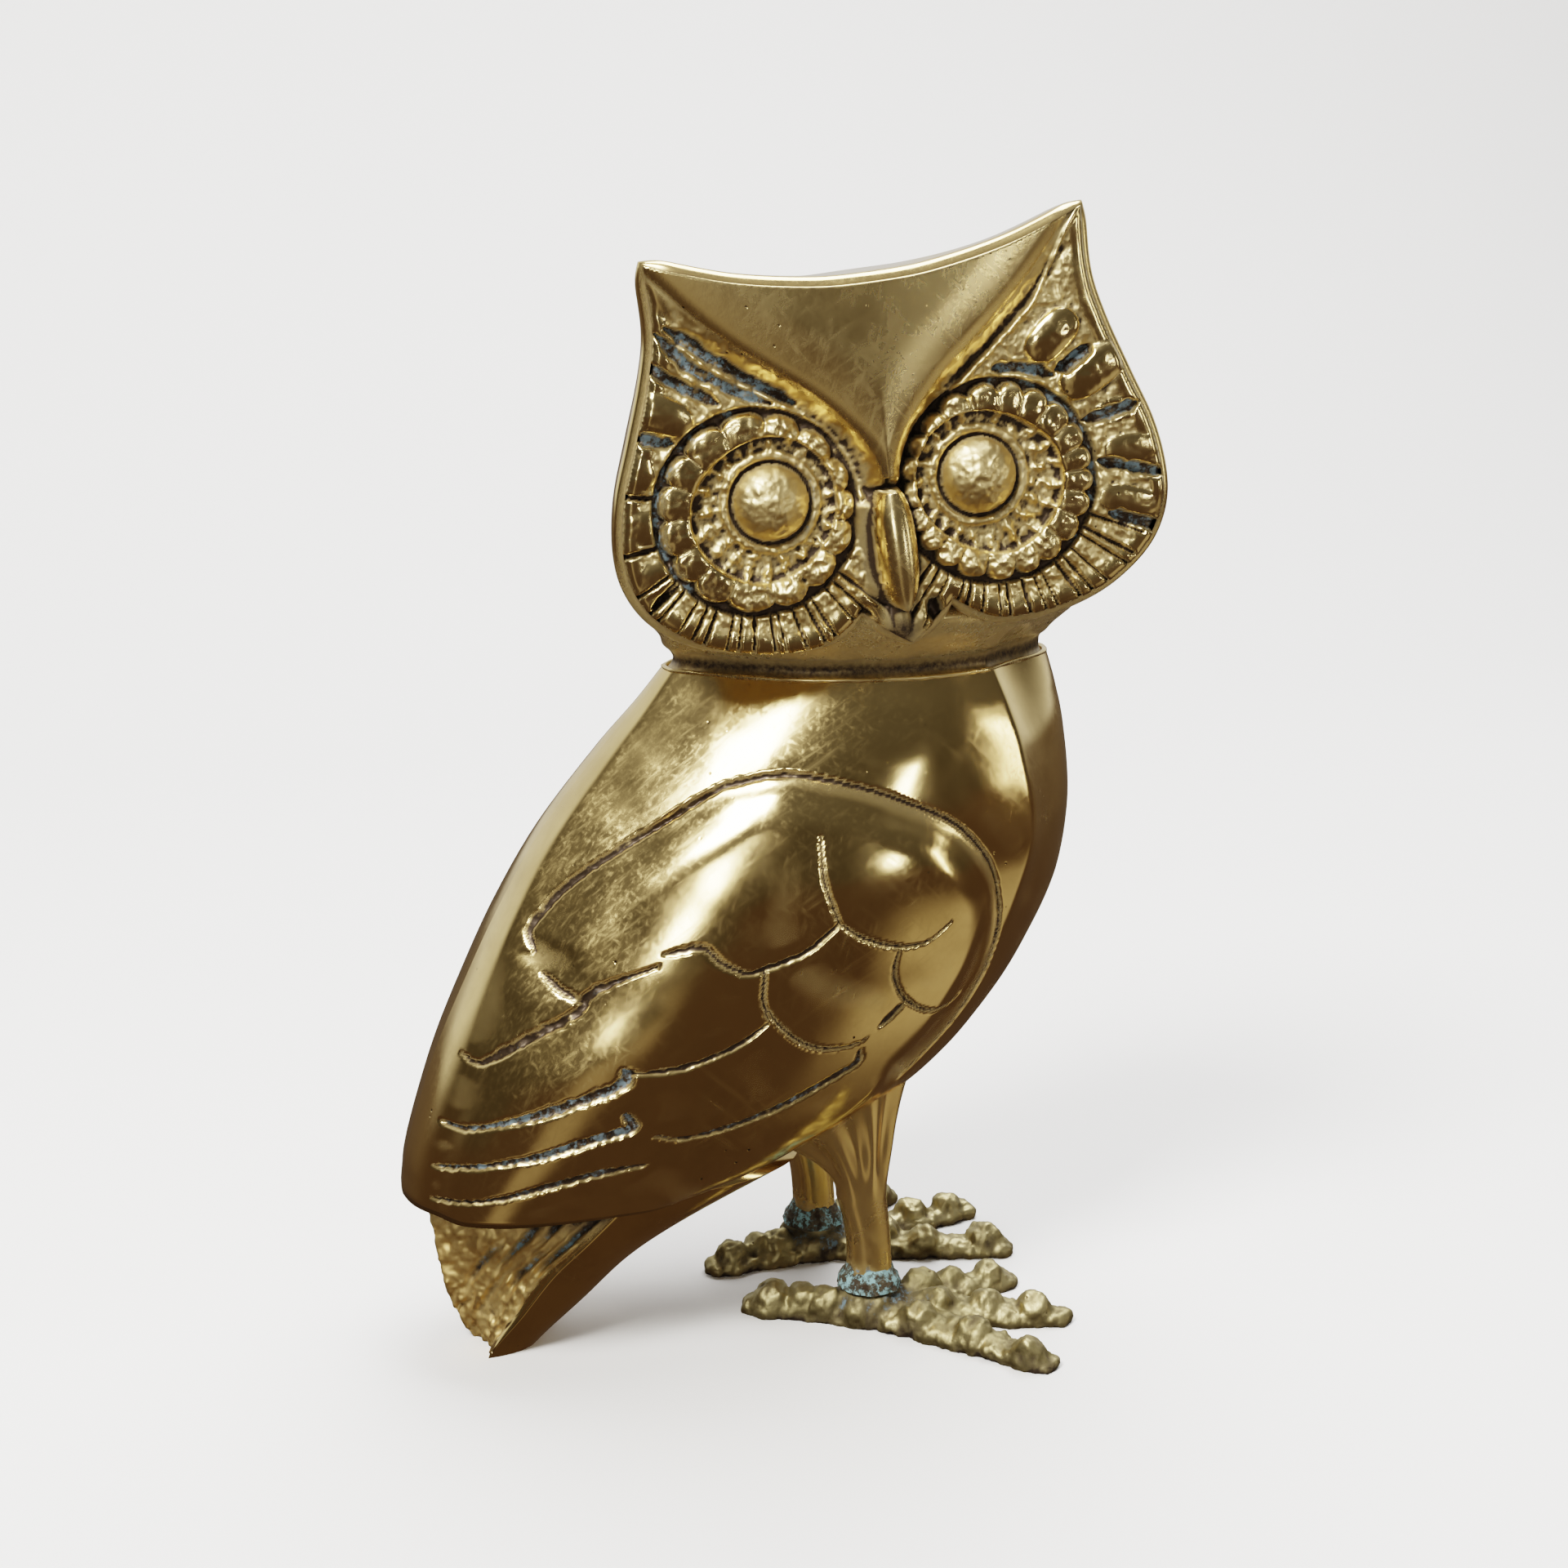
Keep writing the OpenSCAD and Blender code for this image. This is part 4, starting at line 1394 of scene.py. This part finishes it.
@dataclass
class Leg:
    """A leg: a round shank that flares into a faceted thigh on the belly."""

    ankle: Point = (11.6, 11.4)
    # level, shift along X, radius along X, radius across
    shank: Tuple[Tuple[float, ...], ...] = (
        (4.4, 0, 3.2, 3.2), (6.6, 0, 3.0, 3.0), (10, -0.1, 2.9, 2.9), (14, -0.5, 3.0, 2.9),
        (18, -1.3, 3.3, 3.0))
    # shift of the thigh's top along X and across, and its two radii
    thigh: Tuple[float, ...] = (-3.0, -2.6, 9.0, 7.0)
    highest: float = 60.0
    sides: int = 96
    flare_steps: int = 34

    def belly(self, x: Array, y: Array) -> Array:
        """Find the belly's skin over flat points.

        Args:
            x: Places along X.
            y: Places across.

        Returns:
            The skin's level at each place.
        """
        body = Body()
        levels = np.arange(FLOOR, self.highest, 0.5)
        found = np.full(len(x), self.highest)
        for level, row in zip(levels[::-1], body.rows_at(levels)[::-1]):
            half = body.half_section(row)[::6]
            line = np.vstack((half, (half * (1, -1))[::-1]))
            found = np.where(inside_loop(np.stack((x, y), axis=1), line), level, found)
        return found

    def skin(self) -> Skin:
        """Build the leg on the +Y side.

        Returns:
            The skin.
        """
        turn = np.linspace(0, -2 * math.pi, self.sides, endpoint=False)
        c, s = np.cos(turn), np.sin(turn)
        square = (np.abs(c) ** 2.7 + np.abs(s) ** 2.7) ** (-1 / 2.7)
        ax, ay = self.ankle
        rings = []
        for height, shift, wide_x, wide_y in catmull(self.shank, 12):
            x, y = ax + shift - wide_x * c * square, ay + wide_y * s * square
            rings.append(np.stack((x, y, np.full(len(c), height)), axis=1))
        dx, dy, rx, ry = self.thigh
        top_x, top_y = ax + dx - rx * c, ay + dy + ry * s
        level = self.belly(top_x, top_y)
        for _ in range(6):
            level = (np.roll(level, 1) + 2 * level + np.roll(level, -1)) / 4
        top = np.stack((top_x, top_y, level + 1.6), axis=1)
        last = rings[-1]
        for k in range(1, self.flare_steps + 1):
            f = k / self.flare_steps
            ring = mix(last, top, np.array((f ** 2.1, f ** 2.1, f ** 0.9)))
            rings.append(ring)
        points = np.array(rings)
        flat = points.reshape(-1, 3)
        fold = np.tile(np.cos(turn * 7 + 0.6), len(rings)) * smoothstep(flat[:, 2], 18, 26) * 0.5
        lumps = rough_noise(flat, 1.3, 61, 3)
        crust = (1 - smoothstep(flat[:, 2] + lumps * 1.3 + (flat[:, 0] - ax) * 0.35, 6.0, 9.0))
        flat = flat + grid_normals(points).reshape(-1, 3) * (fold + crust * lumps * 0.16)[:, None]
        looks = {"cavity": np.clip(crust * (0.6 + 0.5 * lumps) + 0.12, 0, 1),
                 "green": np.clip(crust * (0.55 - 0.8 * lumps), 0, 1), "cast": np.clip(crust, 0.15, 1)}
        return Skin(flat, [grid_faces(len(rings), self.sides, closed=True)], looks)

    def build(self) -> List[bpy.types.Object]:
        """Make both legs."""
        material = Finish.LEG.material()
        left = self.skin()
        return [left.mirrored().build("shank_right", material, "polished_brass", ["leg_right"]),
                left.build("shank_left", material, "polished_brass", ["leg_left"])]


@dataclass
class Foot:
    """A rough foot: four knuckled toes and a web, run together from lumps."""

    side: str
    place: Point
    turn: float
    seed: int
    toes: Tuple[Tuple[float, float], ...] = ((-30.5, 29), (0, 27.5), (31, 23), (180, 16.5))
    knobs: Tuple[float, ...] = (0.36, 0.60, 0.86)
    thick: float = 1.24
    voxel: float = 0.33

    def lump(self, shape: bmesh.types.BMesh, at: Sequence[float], size: Sequence[float],
             turn: float) -> None:
        """Add one lump to a shape.

        Args:
            shape: The shape to add to.
            at: The lump's middle.
            size: Its three radii.
            turn: Its turn about the upright axis, in degrees.
        """
        place = Matrix.Translation(Vector(at)) @ Matrix.Rotation(math.radians(turn), 4, "Z")
        stretched = place @ Matrix.Diagonal((*size, 1.0))
        bmesh.ops.create_icosphere(shape, subdivisions=3, radius=1.0, matrix=stretched)

    def lumps(self) -> bpy.types.Mesh:
        """Run the foot's lumps together.

        Returns:
            One mesh, centred on the ankle.
        """
        rng = np.random.default_rng(self.seed)
        shape = bmesh.new()
        for angle, length in self.toes:
            way = heading(self.turn + angle)
            beside = heading(self.turn + angle + 90)
            for share in np.linspace(0.08, 0.94, 12):
                wide = mix(3.7, 2.3, share ** 1.5) * (1 + rng.normal(0, 0.06))
                high = mix(2.9, 1.7, share)
                at = way * share * (length - 0.5) + beside * rng.normal(0, 0.15)
                self.lump(shape, (*at, 0.3 * high), (2.7, wide, 0.75 * high), self.turn + angle)
            for share in self.knobs:
                at = way * (share + rng.normal(0, 0.02)) * (length - 0.6) + beside * rng.normal(0, 0.5)
                size = mix(2.9, 2.2, share) * (1 + rng.normal(0, 0.08))
                self.lump(shape, (*at, 1.45), (size * 1.1, size, size * 0.98), self.turn + angle)
        way = heading(self.turn)
        self.lump(shape, (0, 0, 1.4), (5.4, 5.2, 3.2), 0)
        self.lump(shape, (*(way * 6.4), 0.7), (8.0, 7.0, 1.7), self.turn)
        mesh = bpy.data.meshes.new("lumps")
        shape.to_mesh(mesh)
        shape.free()
        carrier = bpy.data.objects.new("lumps", mesh)
        bpy.context.scene.collection.objects.link(carrier)
        remesh = carrier.modifiers.new("join", "REMESH")
        remesh.mode, remesh.voxel_size = "VOXEL", self.voxel
        soften = carrier.modifiers.new("soften", "SMOOTH")
        soften.factor, soften.iterations = 0.6, 3
        graph = bpy.context.evaluated_depsgraph_get()
        joined = bpy.data.meshes.new_from_object(carrier.evaluated_get(graph))
        bpy.data.objects.remove(carrier)
        bpy.data.meshes.remove(mesh)
        return joined

    def skin(self) -> Skin:
        """Build the foot, flat underneath.

        Returns:
            The skin.
        """
        joined = self.lumps()
        count = len(joined.vertices)
        flat, normal = np.empty(count * 3), np.empty(count * 3)
        joined.vertices.foreach_get("co", flat)
        joined.vertices.foreach_get("normal", normal)
        flat, normal = flat.reshape(-1, 3), normal.reshape(-1, 3)
        quads = np.array([tuple(face.vertices) for face in joined.polygons if len(face.vertices) == 4])
        bpy.data.meshes.remove(joined)
        lumps = rough_noise(flat, 1.7, 71 + self.seed, 3)
        fine = rough_noise(flat, 0.8, 81 + self.seed, 2)
        flat = flat + normal * (lumps * 0.34 + fine * 0.13)[:, None]
        flat[:, 2] = np.where(flat[:, 2] < 0.02, 0.0, flat[:, 2]) * self.thick
        web = np.exp(-(np.hypot(*(flat[:, :2] - heading(self.turn) * 6).T) / 4.5) ** 2)
        boss = np.exp(-((np.hypot(flat[:, 0], flat[:, 1]) - 4.4) / 0.9) ** 2) * (flat[:, 2] > 2)
        # Painted shade: the strip by the floor is painted dark as contact shade, and the sides of the lumps
        # that face sideways or down as shade; the dips between lumps take dark oxide.
        under = 1 - smoothstep(flat[:, 2], 0.0, 0.7)
        steep_shade = (1 - normal[:, 2]) * (normal[:, 2] < 0.3)
        cavity = np.clip(-lumps * 0.9 - 0.15 + 0.35 * steep_shade + under * 0.5, 0, 1)
        looks = {"cavity": cavity, "green": np.clip(web * 0.75 + boss * 0.8 - lumps * 0.4 - 0.15, 0, 1),
                 "cast": np.full(count, 0.8)}
        return Skin(flat + (*self.place, 0), [quads], looks)

    def build(self) -> List[bpy.types.Object]:
        """Make the foot."""
        name, node = f"claw_foot_{self.side}", f"foot_{self.side}"
        return [self.skin().build(name, Finish.CAST.material(), "cast_brass", [node])]


@dataclass
class Fillet:
    """The crusted ring of solder round an ankle."""

    side: str
    place: Point
    seed: int
    profile: Tuple[Point, ...] = ((2.9, 8.0), (3.15, 7.7), (3.5, 7.0), (3.9, 6.5), (4.2, 5.9), (4.4, 4.9))

    def skin(self) -> Skin:
        """Build the ring of solder.

        Returns:
            The skin.
        """
        line = catmull(self.profile, 5)
        turn = np.linspace(0, 2 * math.pi, 110, endpoint=False)
        points = np.array([np.stack((r * np.cos(turn), r * np.sin(turn), np.full(len(turn), z)), axis=1)
                           for r, z in line])
        flat = points.reshape(-1, 3)
        lumps = rough_noise(flat, 1.2, self.seed, 3)
        flat = flat - grid_normals(points).reshape(-1, 3) * (lumps * 0.22)[:, None]
        looks = {"cavity": np.clip(0.5 + 0.5 * lumps, 0, 1), "green": np.clip(0.95 - 0.5 * lumps, 0, 1),
                 "cast": np.ones(len(flat))}
        faces = grid_faces(len(line), len(turn), closed=True, flip=True)
        return Skin(flat + (*self.place, 0), [faces], looks)

    def build(self) -> List[bpy.types.Object]:
        """Make the ring."""
        node = f"ankle_braze_{self.side}"
        return [self.skin().build(f"solder_{self.side}", Finish.BRAZE.material(), "braze", [node])]


@dataclass
class Plug:
    """The round plug that closes the core hole in the belly. It keeps its own shape and gets a finish."""

    node: str = "belly_plug"

    def build(self) -> List[bpy.types.Object]:
        """Dress the plug."""
        piece = next(item for item in bpy.data.objects if item.name.startswith(self.node))
        for slot in piece.material_slots:
            slot.link = "OBJECT"
            slot.material = Finish.LEG.material()
        return [piece]


# ---------------------------------------------------------------- stage, light and camera


@dataclass(frozen=True)
class Lamp:
    """A soft box: where it hangs, where it points, its size and its power."""

    name: str
    at: Tuple[float, float, float]
    size: Tuple[float, float]
    power: float
    roll: float = 0.0
    colour: Colour = (1.0, 1.0, 1.0)

    def build(self, target: Vector) -> None:
        """Hang the lamp.

        Args:
            target: The place that it shines on, in metres.
        """
        data = bpy.data.lights.new(self.name, "AREA")
        data.shape, data.size, data.size_y = "RECTANGLE", *self.size
        data.energy, data.color = self.power, self.colour
        lamp = bpy.data.objects.new(self.name, data)
        lamp.location = Vector(self.at)
        turn = (target - lamp.location).to_track_quat("-Z", "Y")
        lamp.rotation_mode = "QUATERNION"
        lamp.rotation_quaternion = turn @ Matrix.Rotation(math.radians(self.roll), 3, "Z").to_quaternion()
        bpy.context.scene.collection.objects.link(lamp)


@dataclass
class Studio:
    """The pale sweep, the room's glow, the soft boxes and the camera."""

    turn: float = -19.0
    pitch: float = 13.5
    distance: float = 320.0
    aim: Tuple[float, float, float] = (0.0, -9.0, 76.0)
    lens: float = 56.25
    lit: Tuple[float, float, float] = (0.0, 0.0, 0.08)
    lamps: Tuple[Lamp, ...] = (
        Lamp("window", (-0.47, -0.37, 0.79), (0.28, 0.34), 17.5, 0.0, (1.0, 0.98, 0.94)),
        Lamp("top_box", (0.25, 0.25, 1.10), (0.8, 0.8), 25.0),
        Lamp("left_box", (-0.42, -0.76, 0.29), (0.11, 0.14), 1.2, 8.0, (1.0, 0.98, 0.94)),
        Lamp("right_box", (0.365, -0.815, 0.185), (0.07, 0.10), 0.5, -8.0, (1.0, 0.98, 0.94)),
        Lamp("right_strip", (0.90, -0.50, 0.22), (0.08, 0.36), 0.8, 0.0, (1.0, 0.93, 0.80)))

    def sweep(self) -> None:
        """Build the floor that curves up into a wall."""
        bend = 0.35
        profile = [(-1.4, 0.0), (bend, 0.0)]
        for t in np.linspace(0, math.pi / 2, 24)[1:]:
            profile.append((bend + bend * math.sin(t), bend - bend * math.cos(t)))
        profile.append((2 * bend, 1.6))
        verts = [(x, y, z) for y, z in profile for x in (-2.2, 2.2)]
        faces = [(2 * i, 2 * i + 1, 2 * i + 3, 2 * i + 2) for i in range(len(profile) - 1)]
        mesh = bpy.data.meshes.new("sweep")
        mesh.from_pydata(verts, [], faces)
        mesh.shade_smooth()
        material = bpy.data.materials.new("pale_paper")
        material.use_nodes = True
        nodes = Nodes(material.node_tree)
        tone = nodes.blend(nodes.noise(6, 3.0), (0.72, 0.715, 0.71), (0.76, 0.755, 0.75))
        surface = nodes.add("ShaderNodeBsdfPrincipled", {}, {"Base Color": tone, "Roughness": 0.75})
        nodes.add("ShaderNodeOutputMaterial", {}, {"Surface": surface})
        mesh.materials.append(material)
        sweep = bpy.data.objects.new("sweep", mesh)
        sweep.visible_glossy = False
        bpy.context.scene.collection.objects.link(sweep)

    def glow(self) -> None:
        """Light the room: pale behind the owl, dim in front of it, umber below."""
        world = bpy.data.worlds.new("room")
        bpy.context.scene.world = world
        world.use_nodes = True
        nodes = Nodes(world.node_tree)
        way = nodes.add("ShaderNodeTexCoord", output="Generated")
        parts = nodes.add("ShaderNodeSeparateXYZ", {}, {0: way})
        x, y, z = (Sock(nodes, parts.out.node.outputs[k]) for k in range(3))
        wall = (y + 0.15 * x).rise(0.12, 0.6)
        front = nodes.blend(z.rise(0.0, 0.9), (0.058, 0.051, 0.040), (0.11, 0.105, 0.097))
        upper = nodes.blend(wall, front, (0.85, 0.85, 0.85))
        left = (0 - x).rise(0.2, 0.4) * (x + 0.62).rise(0.0, 0.12)
        right = 1.7 * x.rise(0.35, 0.6) * (0 - z).rise(0.25, 0.45)
        flanks = left.most(right) * 0.5 * z.rise(-0.86, -0.6) * (0 - y).rise(-0.1, 0.25)
        table = nodes.blend(wall * z.rise(-0.5, 0.0), (0.070, 0.048, 0.034), (0.13, 0.105, 0.085))
        lower = nodes.blend(flanks, table, (0.50, 0.43, 0.33))
        sky = nodes.blend(z.rise(-0.06, 0.04), lower, upper)
        background = nodes.add("ShaderNodeBackground", {}, {"Color": sky, "Strength": 1.0})
        nodes.add("ShaderNodeOutputWorld", {}, {"Surface": background})

    def camera(self) -> None:
        """Set the camera up."""
        a, e = math.radians(self.turn), math.radians(self.pitch)
        back = Vector((math.sin(a) * math.cos(e), -math.cos(a) * math.cos(e), math.sin(e)))
        data = bpy.data.cameras.new("camera")
        data.lens, data.sensor_width = self.lens, 36.0
        data.clip_start, data.clip_end = 0.01, 20.0
        camera = bpy.data.objects.new("camera", data)
        camera.location = (Vector(np.array(self.aim) + SHIFT) + back * self.distance) * MM
        camera.rotation_mode = "QUATERNION"
        camera.rotation_quaternion = (-back).to_track_quat("-Z", "Y")
        bpy.context.scene.collection.objects.link(camera)
        bpy.context.scene.camera = camera

    def build(self) -> None:
        """Set the whole studio up."""
        self.sweep()
        self.glow()
        self.camera()
        for lamp in self.lamps:
            lamp.build(Vector(self.lit))
        view = bpy.context.scene.view_settings
        view.view_transform = "Filmic"
        view.look = "Medium High Contrast"


def main() -> None:
    """Build the owl and its studio."""
    logging.basicConfig(level=logging.INFO, format="%(message)s")
    Studio().build()
    right, left = (float(ANKLE[0]), float(ANKLE[1])), (float(ANKLE[0]), -float(ANKLE[1]))
    makers = [Body(), Face(), HeadShell(), Neck(), Tail(), Leg(), Foot("right", right, -23.5, 1),
              Foot("left", left, 10.0, 2), Fillet("right", right, 91), Fillet("left", left, 92), Plug()]
    for maker in makers:
        for piece in maker.build():
            LOG.info("%s made by %s", piece.name, type(maker).__name__)


if __name__ == "__main__":
    main()
